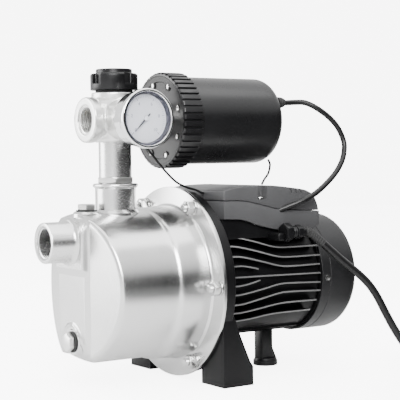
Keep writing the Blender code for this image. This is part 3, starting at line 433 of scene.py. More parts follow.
def makeTurningMarks():
    # fine lines that run round an axis, left by spinning, turning or brushing; the axis is the vector's Z
    group, start, end = newGroup("turningMarks", [
        ("Vector", "NodeSocketVector", None), ("Fineness", "NodeSocketFloat", 1800.0),
        ("Smooth", "NodeSocketFloat", 0.2), ("Rough", "NodeSocketFloat", 0.35)],
        [("Roughness", "NodeSocketFloat"), ("Tone", "NodeSocketFloat"), ("Height", "NodeSocketFloat")])
    parts = node(group, "ShaderNodeSeparateXYZ", {0: start.outputs["Vector"]})
    flat = node(group, "ShaderNodeCombineXYZ", {0: parts.outputs[0], 1: parts.outputs[1]})
    radius = node(group, "ShaderNodeVectorMath", {0: flat.outputs[0]}, operation="LENGTH")
    facing = node(group, "ShaderNodeVectorMath", {0: flat.outputs[0]}, operation="NORMALIZE")
    around = node(group, "ShaderNodeVectorMath", {0: facing.outputs[0]}, operation="SCALE", Scale=0.004)
    reach = node(group, "ShaderNodeMath", {0: radius.outputs["Value"], 1: parts.outputs[2]}, operation="ADD")
    lift = node(group, "ShaderNodeCombineXYZ", {2: reach.outputs[0]})
    seat = node(group, "ShaderNodeVectorMath", {0: around.outputs[0], 1: lift.outputs[0]}, operation="ADD")
    lines = node(group, "ShaderNodeTexNoise", {"Vector": seat.outputs[0], "Scale": start.outputs["Fineness"]},
                 Detail=4.0, Roughness=0.65)
    cloud = node(group, "ShaderNodeTexNoise", {"Vector": start.outputs["Vector"]}, Scale=22.0, Detail=4.0)
    mixed = node(group, "ShaderNodeMath", {0: lines.outputs[0], 1: cloud.outputs[0]}, operation="ADD")
    half = node(group, "ShaderNodeMath", {0: mixed.outputs[0]}, operation="MULTIPLY")
    half.inputs[1].default_value = 0.5
    rough = spread(group, half.outputs[0], 0.35, 0.65, start.outputs["Smooth"], start.outputs["Rough"])
    group.links.new(rough, end.inputs["Roughness"])
    group.links.new(half.outputs[0], end.inputs["Tone"])
    group.links.new(lines.outputs[0], end.inputs["Height"])
    return group


grainGroup, marksGroup = makeGrain(), makeTurningMarks()


def newFinish(name, dark, light, metal, bump, depth, coat=0.0):
    # a Principled material whose tone, roughness and bump come from one of the groups
    material = bpy.data.materials.new(name)
    material.use_nodes = True
    tree = material.node_tree
    shader = tree.nodes["Principled BSDF"]
    shader.inputs["Metallic"].default_value = metal
    shader.inputs["Coat Weight"].default_value = coat
    tint = node(tree, "ShaderNodeMix", data_type="RGBA")
    tint.inputs["A"].default_value, tint.inputs["B"].default_value = (*dark, 1), (*light, 1)
    press = node(tree, "ShaderNodeBump", Strength=bump, Distance=depth)
    tree.links.new(press.outputs[0], shader.inputs["Normal"])
    tree.links.new(tint.outputs["Result"], shader.inputs["Base Color"])
    return material, tree, shader, tint, press


def wired(material, tree, shader, tint, press, effect):
    tree.links.new(effect.outputs["Roughness"], shader.inputs["Roughness"])
    tree.links.new(effect.outputs["Tone"], tint.inputs["Factor"])
    tree.links.new(effect.outputs["Height"], press.inputs["Height"])
    return material


def grained(name, dark, light, smooth, rough, metal=0.0, tooth=900.0, bump=0.15, depth=0.0002, cloud=30.0, scuffs=0.1,
            coat=0.0):
    parts = newFinish(name, dark, light, metal, bump, depth, coat)
    effect = parts[1].nodes.new("ShaderNodeGroup")
    effect.node_tree = grainGroup
    for label, value in (("Tooth Size", tooth), ("Cloud Size", cloud), ("Smooth", smooth), ("Rough", rough),
                         ("Scuffs", scuffs)):
        effect.inputs[label].default_value = value
    return wired(*parts, effect)


def marked(name, dark, light, smooth, rough, axis, line, fineness=1800.0, bump=0.08, depth=0.0002, metal=1.0):
    parts = newFinish(name, dark, light, metal, bump, depth)
    tree = parts[1]
    effect = tree.nodes.new("ShaderNodeGroup")
    effect.node_tree = marksGroup
    for label, value in (("Fineness", fineness), ("Smooth", smooth), ("Rough", rough)):
        effect.inputs[label].default_value = value
    centre = node(tree, "ShaderNodeVectorMath", {0: node(tree, "ShaderNodeTexCoord").outputs["Object"]},
                  operation="SUBTRACT")
    centre.inputs[1].default_value = line
    split = node(tree, "ShaderNodeSeparateXYZ", {0: centre.outputs[0]})
    order = {"X": (1, 2, 0), "Y": (2, 0, 1), "Z": (0, 1, 2)}[axis]
    swap = node(tree, "ShaderNodeCombineXYZ", {i: split.outputs[source] for i, source in enumerate(order)})
    tree.links.new(swap.outputs[0], effect.inputs["Vector"])
    return wired(*parts, effect)


steelDark, steelLight = (0.50, 0.50, 0.50), (0.72, 0.72, 0.715)
spunSteel = marked("spunStainless", steelDark, steelLight, 0.20, 0.28, "Y", shaftLine, 1500.0, 0.05)
pipeSteel = marked("turnedPipe", steelDark, steelLight, 0.20, 0.32, "Z", pipeLine, 1800.0, 0.06)
portSteel = marked("turnedPort", steelDark, steelLight, 0.20, 0.32, "Y", (0, 0, 0.1487), 1800.0, 0.06)
castNickel = grained("satinCasting", (0.55, 0.55, 0.54), (0.78, 0.78, 0.77), 0.26, 0.38, 1.0, 1400.0, 0.10, 0.0002)
brightSteel = grained("polishedSteel", (0.70, 0.70, 0.70), (0.88, 0.88, 0.88), 0.06, 0.12, 1.0, 500.0, 0.02)
zincPlate = grained("zincPlate", (0.36, 0.36, 0.36), (0.66, 0.66, 0.65), 0.10, 0.20, 1.0, 1200.0, 0.06)
groundSteel = marked("groundShaft", (0.42, 0.42, 0.42), (0.66, 0.66, 0.66), 0.22, 0.36, "Y", shaftLine, 2400.0)
castBrass = grained("castBrass", (0.55, 0.40, 0.16), (0.80, 0.62, 0.30), 0.28, 0.42, 1.0, 1200.0, 0.12)
windingCopper = marked("enamelledWire", (0.36, 0.13, 0.05), (0.72, 0.34, 0.15), 0.25, 0.42, "Y", shaftLine, 900.0, 0.5)
stackedSheet = marked("stackedSheet", (0.16, 0.17, 0.19), (0.40, 0.41, 0.43), 0.35, 0.55, "Y", shaftLine, 2600.0, 0.4)
blackPaint = grained("blackCastingPaint", (0.0016, 0.0016, 0.0018), (0.0036, 0.0036, 0.0040), 0.34, 0.44, 0.0, 1100.0,
                     0.20, 0.0002, 40.0, 0.0)
# a paler grey for the fins' outer edges: a painted highlight
crestHighlightPaint = grained("crestHighlightPaint", (0.06, 0.06, 0.06), (0.11, 0.11, 0.11), 0.34, 0.44, 0.0, 1100.0, 0.10, scuffs=0.0)
coverPaint = grained("fanCoverPaint", (0.0065, 0.0065, 0.0070), (0.0105, 0.0105, 0.0112), 0.36, 0.46, 0.0, 1500.0, 0.10,
                     scuffs=0.0)
blackPlastic = grained("blackMoulding", (0.0020, 0.0020, 0.0022), (0.0045, 0.0045, 0.0050), 0.26, 0.36, 0.0, 1500.0,
                       0.08, scuffs=0.0)
satinPlastic = marked("satinHousing", (0.0025, 0.0025, 0.0028), (0.0060, 0.0060, 0.0066), 0.26, 0.36, "Y",
                      controllerLine,
                      1600.0, 0.05, 0.0002, 0.0)
greyPlastic = grained("greyMoulding", (0.042, 0.042, 0.043), (0.055, 0.055, 0.057), 0.38, 0.48, 0.0, 2200.0, 0.12,
                      scuffs=0.0)
palePlastic = grained("paleMoulding", (0.62, 0.62, 0.57), (0.80, 0.80, 0.76), 0.35, 0.5, 0.0, 1200.0, 0.1)
softRubber = grained("softRubber", (0.012, 0.012, 0.012), (0.028, 0.028, 0.028), 0.5, 0.7, 0.0, 1400.0, 0.2)
cordJacket = grained("cordJacket", (0.0020, 0.0020, 0.0021), (0.0045, 0.0045, 0.0048), 0.30, 0.40, 0.0, 900.0, 0.03,
                     scuffs=0.0)
dialWhite = grained("dialSheet", (0.80, 0.80, 0.86), (0.88, 0.88, 0.93), 0.35, 0.45, 0.0, 800.0, 0.02, scuffs=0.0)
dialPrint = grained("dialPrint", (0.25, 0.25, 0.33), (0.34, 0.34, 0.42), 0.4, 0.5, 0.0, 800.0, 0.02, scuffs=0.0)
needleBlack = grained("needleFinish", (0.03, 0.03, 0.04), (0.06, 0.06, 0.08), 0.3, 0.4, 0.0, 900.0, 0.05)
boardGreen = grained("coatedBoard", (0.02, 0.12, 0.05), (0.05, 0.24, 0.10), 0.2, 0.35, 0.0, 300.0, 0.3)
sealCarbon = marked("carbonFace", (0.05, 0.05, 0.055), (0.12, 0.12, 0.13), 0.3, 0.45, "Y", shaftLine, 1600.0, 0.1,
                    0.0002, 0.0)


def makeGlass():
    glass = bpy.data.materials.new("gaugeGlass")
    glass.use_nodes = True
    tree = glass.node_tree
    shader = tree.nodes["Principled BSDF"]
    shader.inputs["Base Color"].default_value = (0.98, 0.99, 1.0, 1)
    shader.inputs["Metallic"].default_value = 0.0
    shader.inputs["Transmission Weight"].default_value = 1.0
    shader.inputs["IOR"].default_value = 1.05
    place = node(tree, "ShaderNodeTexCoord").outputs["Object"]
    smear = node(tree, "ShaderNodeTexNoise", {"Vector": place}, Scale=60.0, Detail=3.0)
    tree.links.new(spread(tree, smear.outputs[0], 0.4, 0.7, 0.01, 0.04), shader.inputs["Roughness"])
    return glass


clearGlass = makeGlass()
# how strongly each dull black mirrors the room
for finish, sheen in ((blackPaint, 0.14), (coverPaint, 0.24), (blackPlastic, 0.22), (satinPlastic, 0.40),
                      (greyPlastic, 0.25),
                      (cordJacket, 0.30), (softRubber, 0.20)):
    finish.node_tree.nodes["Principled BSDF"].inputs["Specular IOR Level"].default_value = sheen
print("finishes made")


# the slot names of the record, with the finish each gets
finishes = {
    "stainless_steel": spunSteel, "nickel": castNickel, "bright_steel": brightSteel, "zinc": zincPlate,
    "ground_steel": groundSteel, "brass": castBrass, "copper": windingCopper, "laminations": stackedSheet,
    "black_paint": blackPaint, "black_plastic": blackPlastic, "grey_plastic": greyPlastic,
    "pale_plastic": palePlastic, "rubber": softRubber, "dial_white": dialWhite, "needle_black": needleBlack,
    "clear_glass": clearGlass, "circuit_board": boardGreen, "carbon": sealCarbon, "cord_jacket": cordJacket,
}


# the mains lead: its relief at the gland, the tie round the coil, and the lead itself
relief = {"length": 0.028, "start": 0.0050, "end": 0.00455, "rings": 9, "groove": 0.00045}


def makeRelief():
    # a tapered, grooved sleeve along the lead's first stretch
    line = mainsPath
    rows, sides, travelled, index = relief["rings"] * 4, 20, 0.0, 0
    mesh = bmesh.new()
    loops = []
    for row in range(rows + 1):
        want = relief["length"] * row / rows
        while index < len(line) - 2 and travelled + (line[index + 1] - line[index]).length < want:
            travelled += (line[index + 1] - line[index]).length
            index += 1
        step = (line[index + 1] - line[index])
        place = line[index] + step.normalized() * (want - travelled)
        size = relief["start"] + (relief["end"] - relief["start"]) * row / rows
        size -= relief["groove"] if row % 4 == 2 else 0
        across = step.normalized().cross(Vector((0, 0, 1))).normalized()
        upward = across.cross(step.normalized())
        loops.append([mesh.verts.new(place + size * (across * cos(2 * pi * k / sides)
                                                     + upward * sin(2 * pi * k / sides)))
                      for k in range(sides)])
    for a, b in zip(loops, loops[1:]):
        for k in range(sides):
            mesh.faces.new((a[k], a[(k + 1) % sides], b[(k + 1) % sides], b[k]))
    mesh.faces.new(loops[0])
    mesh.faces.new(loops[-1])
    bmesh.ops.recalc_face_normals(mesh, faces=mesh.faces)
    data = bpy.data.meshes.new("mainsRelief")
    mesh.to_mesh(data)
    mesh.free()
    piece = bpy.data.objects.new("mainsRelief", data)
    scene.collection.objects.link(piece)
    return piece


mainsRelief = makeRelief()
handOver(mainsRelief, "pump", "rubber", softRubber, angle=50)

tieSize = {"width": 0.006, "turn": 150}


def makeTie():
    # a flat band round the coil's four laps
    r, ring = mains["radius"], mains["coilRadius"]
    centre = stationed(*mains["coilCentre"], 0)
    half, top = 2 * r + 0.0006, 4 * r + gap + 0.0004
    corners = arc(ring + half - r, top - r, r, 0, 90, 4) + arc(ring - half + r, top - r, r, 90, 180, 4)
    corners += arc(ring - half + r, r, r, 180, 270, 4) + arc(ring + half - r, r, r, 270, 360, 4)
    outline = [(u, max(v, 0.00002)) for u, v in corners]
    band = sheared("coilTie", outline, "Y", -tieSize["width"] / 2, tieSize["width"] / 2)
    inner = [(ring + (u - ring) * (1 - 0.07), r * 2 + (v - r * 2) * (1 - 0.09)) for u, v in outline]
    cut(band, sheared("tieInside", inner, "Y", -0.01, 0.01))
    band.data.transform(Matrix.Translation(centre) @ Matrix.Rotation(radians(tieSize["turn"]), 4, "Z"))
    return band


coilTie = makeTie()
handOver(coilTie, "pump", "black_plastic", blackPlastic)

for piece, nodes in ((mainsCord, ("mains_cord", "mains_cord_coil", "mains_cord_tail")),
                     (controllerCable, ("controller_cable",)), (frontSensorWire, ("front_sensor_wire",)),
                     (rearSensorWire, ("rear_sensor_wire",))):
    handOver(piece, "pump", "cord_jacket", cordJacket, *nodes)


# the mains plug: a moulded body with a ribbed tail and two round pins
plug = {"radius": 0.0125, "length": 0.040, "pinRadius": 0.0024, "pinSpread": 0.0065, "pinLength": 0.019}


def makePlug():
    low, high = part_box("mains_plug")
    line = Vector(((low.x + high.x) / 2, 0, (low.z + high.z) / 2))
    front = high.y - 0.0193
    r, rear = plug["radius"] - 0.0001, front - plug["length"] + 0.0002
    profile = [(0, rear), (0.0052, rear)]
    for i in range(5):
        at = rear + 0.0012 + i * 0.0020
        profile += [(0.0057 + i * 0.0005, at), (0.0057 + i * 0.0005, at + 0.0010), (0.0051 + i * 0.0005, at + 0.0013)]
    profile += [(0.0092, rear + 0.0125)] + arc(r - 0.0035, rear + 0.0175, 0.0035, -75, 0, 4)
    profile += [(r - 0.0006, rear + 0.022), (r - 0.0006, rear + 0.024), (r, rear + 0.0265)]
    profile += arc(r - 0.0012, front - 0.0012, 0.0012, 0, 90, 4) + [(0, front)]
    body = turned("mainsPlug", profile, "Y", line, 48)
    # flats on two sides, for the thumb and the finger
    for side in (-1, 1):
        cut(body, thumbFlat(line, r, front, side))
    body = softened(body, 0.0004, 2, 35)
    pins = []
    for side in (-1, 1):
        at = line + Vector((side * plug["pinSpread"], 0, 0))
        pins.append(turned("plugPin%d" % (side + 2), [(0, front - 0.002), (plug["pinRadius"], front - 0.002),
                           (plug["pinRadius"], front + plug["pinLength"] - 0.0015)]
                    + arc(plug["pinRadius"] - 0.0014, front + plug["pinLength"] - 0.0014, 0.0014, 0, 90, 4)
                    + [(0, front + plug["pinLength"])], "Y", at, 24))
    return body, joined("plugPins", *pins)


def thumbFlat(line, r, front, side):
    # a shallow block that takes a flat off the plug's side
    x = line.x + side * (r - 0.0016)
    z, half = line.z, 0.0065
    return sheared("thumbFlat", [(front - 0.0165, z - half), (front - 0.0045, z - half), (front - 0.0045, z + half),
                                 (front - 0.0165, z + half)], "X", min(x, x + side * 0.01), max(x, x + side * 0.01))


mainsPlug, plugPins = makePlug()
handOver(mainsPlug, "pump", "black_plastic", blackPlastic, "mains_plug")
handOver(plugPins, "pump", "black_plastic", brightSteel)
print("lead and plug made")


# the casing: one drawn and spun stainless shell with a raised band across its front
casing = {
    "radius": 0.076, "corner": 0.004, "nose": -0.1175, "wall": 0.002, "bead": -0.038, "steps": 320,
    "bandHalf": 0.029, "bandEase": 0.0022, "facetStart": -0.1140, "facetSlope": 0.255,
    "lip": 0.0030, "lipHeight": 0.1185, "bottomCurve": 0.060, "bottomDrop": 0.026,
    "topCurve": 0.155, "topDrop": 0.022, "archHeight": 0.048, "archRadius": 0.0175, "archRise": 0.0018,
    "flangeRadius": 0.0996, "flangeThickness": 0.004,
}


def casingFront(x, z):
    # how far forward the front stands at a place: the band, curved back at both ends, and a facet on each side
    low, high = shaftLine.z - casing["radius"], shaftLine.z + casing["radius"]
    band = casing["nose"] - casing["lip"] * between(z, casing["lipHeight"] - 0.003, casing["lipHeight"] + 0.003)
    bottom = min(max((casing["bottomCurve"] - z) / (casing["bottomCurve"] - low), 0), 1)
    top = min(max((z - casing["topCurve"]) / (high - casing["topCurve"]), 0), 1)
    band += casing["bottomDrop"] * (1 - sqrt(1 - bottom * bottom)) + casing["topDrop"] * (1 - sqrt(1 - top * top))
    reach = sqrt(x * x + (z - casing["archHeight"]) ** 2)
    ridge = max(0, 1 - ((reach - casing["archRadius"]) / 0.0022) ** 2) ** 2
    band -= casing["archRise"] * ridge * between(z - casing["archHeight"], -0.012, 0.004)
    facet = casing["facetStart"] + casing["facetSlope"] * (abs(x) - casing["bandHalf"])
    share = between(abs(x), casing["bandHalf"] - casing["bandEase"], casing["bandHalf"] + casing["bandEase"])
    return band + (facet - band) * share


def makeCasing():
    r, f, nose, wall = casing["radius"], casing["corner"], casing["nose"], casing["wall"]
    bead, rim, thick = casing["bead"], casing["flangeRadius"], casing["flangeThickness"]
    front = [((r - f) * i / 66, nose) for i in range(66)]
    outside = front + arc(r - f, nose + f, f, -90, 0, 8)
    outside += [(r, nose + f + (bead - 0.001 - nose - f) * i / 12) for i in range(1, 13)]
    outside += [(r + 0.0003, bead + 0.0006), (r + 0.0011, bead + 0.0020), (r + 0.0019, bead + 0.0034),
                (r + 0.0024, bead + 0.0050), (r + 0.0027, bead + 0.0070), (r + 0.0034, -0.020), (r + 0.0040, -0.0095)]
    outside += [(r + 0.0041 + 0.0027 * (1 - cos(radians(a))), -0.0035 * (1 - sin(radians(a))))
                for a in (0, 20, 40, 60, 75, 90)]
    rimEdge = [(rim - 0.0008, 0), (rim - 0.0002, 0.0002), (rim, 0.0008), (rim, thick - 0.0008),
               (rim - 0.0002, thick - 0.0002), (rim - 0.0008, thick)]
    inside = [(r + 0.0018, thick), (r + 0.0018, -0.010), (r + 0.0004, bead + 0.006), (r - wall, bead),
              (r - wall, -0.070), (r - wall, nose + 0.012)] + arc(r - f, nose + f, f - wall, 0, -90, 4)
    inside += [((r - f) * (1 - i / 16), nose + wall) for i in range(1, 17)]
    shell = turned("casingShell", outside + rimEdge + inside, "Y", shaftLine, casing["steps"])
    for vertex in shell.data.vertices:
        x, y, z = vertex.co.x, vertex.co.y - flangeY, vertex.co.z
        if y >= bead:
            continue
        distance = max(sqrt(x * x + (z - shaftLine.z) ** 2), 1e-6)
        pull = min(1, (r - f * 0.6) / distance)
        shift = casingFront(x * pull, shaftLine.z + (z - shaftLine.z) * pull) - nose
        vertex.co.y += shift * min(1, (bead - y) / (bead - nose - 0.006))
    return shell


casingShell = makeCasing()
ports = {"suctionHeight": 0.1487, "suctionTip": -0.1481, "suctionRadius": 0.0205, "bore": 0.015,
         "dischargeRadius": 0.0209, "dischargeTop": 0.2061, "threadPitch": 0.0023}


def bored(name, radius, low, high, axis, centre, steps=64):
    return turned(name, [(0, low), (radius, low), (radius, high), (0, high)], axis, centre, steps)


suctionLine = Vector((0, flangeY, ports["suctionHeight"]))
cut(casingShell, bored("suctionHole", ports["bore"], -0.135, -0.100, "Y", suctionLine))
cut(casingShell, bored("dischargeHole", ports["bore"], 0.150, 0.190, "Z", pipeLine))


def threadRings(radius, start, end, depth):
    # the crests and roots of a bore's thread, as (radius, along), from start to end
    count = round(abs(end - start) / ports["threadPitch"])
    pitch = (end - start) / count
    line = []
    for i in range(count):
        at = start + pitch * i
        line += [(radius + depth, at + pitch * 0.10), (radius + depth, at + pitch * 0.35), (radius, at + pitch * 0.60),
                 (radius, at + pitch * 0.85)]
    return line


def makeSuctionPort():
    tip, r, bore = ports["suctionTip"], ports["suctionRadius"], ports["bore"]
    face = casing["nose"] - casing["lip"]
    outside = [(r + 0.0042, face + 0.0035), (r + 0.0040, face + 0.0004), (r + 0.0028, face - 0.0012),
               (r + 0.0012, face - 0.0022), (r, face - 0.0045), (r, tip + 0.0012), (r - 0.0004, tip + 0.0003),
               (r - 0.0012, tip)]
    inside = [(bore + 0.0022, tip), (bore + 0.0012, tip + 0.0010)]
    inside += threadRings(bore - 0.0004, tip + 0.0014, tip + 0.0175, 0.0011)
    inside += [(bore - 0.0004, tip + 0.020), (bore - 0.0004, -0.105), (r - 0.001, -0.105), (r - 0.001, face + 0.0035)]
    return turned("suctionPort", outside + inside, "Y", suctionLine, 96)


def makeDischargeStub():
    top, r, bore = ports["dischargeTop"], ports["dischargeRadius"], ports["bore"]
    seat = shaftLine.z + casing["radius"]
    outside = [(r + 0.0030, seat - 0.0095), (r + 0.0028, seat - 0.0010), (r + 0.0016, seat + 0.0006),
               (r, seat + 0.0022),
               (r, top - 0.0052), (r + 0.0006, top - 0.0042)]
    outside += arc(r + 0.0004, top - 0.0020, 0.0020, -70, 90, 8)
    inside = [(bore + 0.0012, top), (bore, top - 0.0010), (bore, seat - 0.0095)]
    return turned("dischargeStub", outside + inside, "Z", pipeLine, 96)


suctionPort, dischargeStub = makeSuctionPort(), makeDischargeStub()
handOver(casingShell, "pump", "stainless_steel", spunSteel, "pump_casing", angle=32)
handOver(suctionPort, "pump", "stainless_steel", portSteel)
handOver(dischargeStub, "pump", "stainless_steel", pipeSteel)
print("casing made:", len(casingShell.data.polygons))


# the plugs and the flange's studs, nuts and washers
plugHead = {"flats": 0.017, "washer": 0.0108, "height": 0.006}


def makePlugHead(name, seat, outward, axis, centre):
    # a washer and a chamfered hexagon
    low = seat + outward * 0.0003
    top = low + outward * 0.0012
    washer = turned(name + "Washer", [(0, low), (plugHead["washer"] - 0.0002, low),
                                      (plugHead["washer"], low + outward * 0.0003),
                                      (plugHead["washer"], top - outward * 0.0003), (plugHead["washer"] - 0.0003, top),
                                      (0, top)], axis, centre, 64)
    last = top + outward * plugHead["height"]
    head = hexed(name, plugHead["flats"], min(top, last), max(top, last), axis, centre)
    return softened(head, 0.0004, 2, 25), washer


primingLine = Vector((0, flangeY - 0.099, 0))
drainLine = Vector((0, flangeY, 0.048))
primingHead, primingWasher = makePlugHead("primingPlug", 0.1785, 1, "Z", primingLine)
drainHead, drainWasher = makePlugHead("drainPlug", -0.1175, -1, "Y", drainLine)
for head, washer, nodeName in ((primingHead, primingWasher, "priming_plug"), (drainHead, drainWasher, "drain_plug")):
    handOver(head, "pump", "nickel", castNickel, nodeName)
    handOver(washer, "pump", "rubber", softRubber)
primingSeat = turned("primingSeat", [(0.0085, 0.1660), (0.0150, 0.1660), (0.0140, 0.1765), (0.0125, 0.1782),
                                     (0.0120, 0.1785),
                                     (0.0085, 0.1785)], "Z", primingLine, 64)
drainSeat = turned("drainSeat", [(0.0085, -0.1085), (0.0150, -0.1085), (0.0138, -0.1165), (0.0130, -0.1175),
                                 (0.0085, -0.1175)],
                   "Y", drainLine, 64)
handOver(primingSeat, "pump", "stainless_steel", spunSteel)
handOver(drainSeat, "pump", "stainless_steel", spunSteel)

stud = {"flats": 0.013, "height": 0.008, "radius": 0.0039, "washer": 0.0078, "out": 0.004, "pitch": 0.00125}


def makeStud():
    # one nut, washer and threaded end at the shaft's line, facing forward from the flange
    seat = -0.0003
    front = seat - 0.0014
    nutFront = front - stud["height"]
    washer = turned("studWasher", [(0, seat), (stud["washer"] - 0.0002, seat), (stud["washer"], seat - 0.0003),
                                   (stud["washer"], front + 0.0003), (stud["washer"] - 0.0002, front), (0, front)],
                    "Y", shaftLine, 48)
    nut = softened(hexed("studNut", stud["flats"], nutFront, front, "Y", shaftLine), 0.0003, 2, 25)
    tip = nutFront - stud["out"]
    thread = [(0, nutFront + 0.001)]
    for i in range(4):
        at = nutFront + 0.001 - stud["pitch"] * i
        thread += [(stud["radius"] - 0.0005, at), (stud["radius"], at - stud["pitch"] / 2)]
    thread += [(stud["radius"] - 0.0005, tip + 0.0004), (stud["radius"] - 0.0011, tip), (0, tip)]
    end = turned("studEnd", thread, "Y", shaftLine, 32)
    return joined("flangeStud", nut, washer, end)


firstStud = makeStud()
for number in range(1, 7):
    low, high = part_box("flange_stud_nut_%d" % number)
    place = Vector(((low.x + high.x) / 2, 0, (low.z + high.z) / 2 - shaftLine.z))
    turnBy = aroundLine(shaftLine, "Y", radians(17 * number))
    piece = copied(firstStud, "flangeStud%d" % number, Matrix.Translation(place) @ turnBy)
    handOver(piece, "pump", "zinc", zincPlate, "flange_stud_nut_%d" % number)
bpy.data.objects.remove(firstStud)
print("plugs and studs made")


# the outlet column: a short pipe, the five-way casting, and its threads
column = {
    "pipeRadius": 0.0167, "pipeBore": 0.013, "hexFlats": 0.035, "bottom": 0.249, "top": 0.2985,
    "bodyRadius": 0.022, "collar": 0.0233, "portRadius": 0.0231, "portFront": -0.0998, "portWaist": 0.0196,
    "rearRadius": 0.0185, "rearEnd": -0.0100, "sideRadius": 0.0215, "sideEnd": 0.0405, "bore": 0.0144, "voxel": 0.0008,
}


def makeRiser():
    low, rim, r = 0.1941, 0.2064, column["pipeRadius"]
    profile = [(column["pipeBore"], low), (0.0147, low), (0.0147, rim + 0.004), (r, rim + 0.004), (r, 0.2558),
               (column["pipeBore"], 0.2558)]
    pipe = turned("riserPipe", profile, "Z", pipeLine, 64)
    collar = hexed("riserCollar", column["hexFlats"], rim, rim + 0.0062, "Z", pipeLine, 6, 0.0009)
    cut(collar, bored("collarBore", r + 0.0001, rim - 0.01, rim + 0.02, "Z", pipeLine))
    return pipe, softened(collar, 0.0004, 2, 25)


def makeFiveWay():
    c = column
    upright = turned("fiveWayBody", [(0, c["bottom"] - 0.0010)]
                     + arc(c["bodyRadius"] - 0.003, c["bottom"] + 0.002, 0.003, -90, 0, 4)
                     + [(c["bodyRadius"], c["top"] - 0.0085), (c["collar"], c["top"] - 0.0060)]
                     + arc(c["collar"] - 0.001, c["top"] - 0.001, 0.001, 0, 90, 3) + [(0, c["top"])], "Z", pipeLine, 72)
    front = turned("frontPort", [(0, c["portFront"]), (c["portRadius"] - 0.0014, c["portFront"]),
                                 (c["portRadius"] - 0.0004, c["portFront"] + 0.0005),
                                 (c["portRadius"], c["portFront"] + 0.0016),
                                 (c["portRadius"], c["portFront"] + 0.0085),
                                 (c["portRadius"] - 0.0012, c["portFront"] + 0.0105),
                                 (c["portWaist"], c["portFront"] + 0.0125), (c["portWaist"], -0.062), (0, -0.062)],
                   "Y", crossing - Vector((0, crossing.y - flangeY, 0)), 72)
    rear = bored("rearPort", c["rearRadius"], -0.068, c["rearEnd"], "Y", controllerLine)
    side = turned("sidePort", [(0, 0), (c["sideRadius"], 0), (c["sideRadius"], c["sideEnd"] - 0.0015),
                               (c["sideRadius"] - 0.0015, c["sideEnd"]), (0, c["sideEnd"])], "X", gaugeLine, 72)
    for helper in (front, rear, side):
        cut(upright, helper, "UNION", "MANIFOLD")
    for bore in (bored("throughBore", c["bore"] + 0.0003, -0.110, 0.0, "Y", controllerLine),
                 bored("riserSocket", c["pipeRadius"] + 0.0003, 0.240, 0.2563, "Z", pipeLine),
                 bored("valveSeat", 0.0105, 0.240, 0.270, "Z", pipeLine),
                 bored("capBore", 0.015, 0.2592, 0.31, "Z", pipeLine),
                 bored("gaugeRecess", 0.0122, 0.0293, 0.06, "X", gaugeLine)):
        cut(upright, bore, "DIFFERENCE", "MANIFOLD")
    body = remeshed(upright, c["voxel"], 3)
    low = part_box("five_way_body")[0]
    for vertex in body.data.vertices:   # the casting stands no prouder than its faces
        vertex.co.x, vertex.co.y = max(vertex.co.x, low.x), max(vertex.co.y, low.y)
        vertex.co.z = min(vertex.co.z, c["top"])
    return body


def makePortThread(name, bore, start, end, line):
    # a sleeve of fine rings inside a port's mouth
    rings = threadRings(bore - 0.0016, start, end, 0.0013)
    outer = [(bore + 0.0002, end), (bore + 0.0002, start)]
    return turned(name, [(bore - 0.0004, start)] + rings + outer, "Y", line, 96)


riserPipe, riserCollar = makeRiser()
fiveWayBody = makeFiveWay()
portThread = makePortThread("portThread", column["bore"], column["portFront"] + 0.0012, column["portFront"] + 0.0190,
                            controllerLine)
handOver(riserPipe, "pump", "nickel", pipeSteel, "riser_nipple")
handOver(riserCollar, "pump", "nickel", castNickel)
handOver(fiveWayBody, "pump", "nickel", castNickel, "five_way_body", angle=60)
handOver(portThread, "pump", "nickel", castNickel)
print("outlet column made:", len(fiveWayBody.data.polygons))


# the filling cap, with four tall lobes to grip
capSize = {"radius": 0.0243, "base": 0.0060, "lobe": 0.0154, "inner": 0.0188, "crown": 0.0185, "notchWidth": 0.0122}


def makeCap():
    seat, top = 0.3012, 0.3226
    c = capSize
    body = turned("fillCap", [(0, 0.2914), (0.0144, 0.2914), (0.0144, seat), (c["radius"] - 0.0003, seat),
                              (c["radius"], seat + 0.0006),
                              (c["radius"], seat + c["lobe"] - 0.0010)]
                  + arc(c["radius"] - 0.0022, seat + c["lobe"] - 0.0008, 0.0022, 10, 80, 4)
                  + [(c["crown"] + 0.0006, seat + c["lobe"] + 0.0016), (c["crown"], seat + c["lobe"] + 0.0022),
                     (c["crown"], top - 0.0012)] + arc(c["crown"] - 0.0012, top - 0.0012, 0.0012, 15, 90, 3)
                  + [(c["crown"] - 0.0035, top), (c["crown"] - 0.0042, top - 0.0008), (0, top - 0.0008)], "Z",
                  pipeLine, 96)
    for index in range(4):
        turn = 45 + 90 * index - 34
        half = c["notchWidth"] / 2
        notch = sheared("capNotch", [(c["inner"], -half), (0.03, -half), (0.03, half), (c["inner"], half)], "Z",
                        seat + c["base"], seat + 0.03)
        notch.data.transform(Matrix.Translation(pipeLine) @ Matrix.Rotation(radians(turn), 4, "Z"))
        notch = softened(notch, 0.0012, 3, 30)
        cut(body, notch)
    return softened(body, 0.0004, 2, 35)


fillCap = makeCap()
handOver(fillCap, "cap", "black_plastic", blackPlastic, "fill_cap")

# the check valve's spring rides on the disc, one coil of wire over the height of the imported spring
spring = {"turns": 4.5, "radius": 0.0062, "wire": 0.0006, "lift": 0.008, "steps": 24}


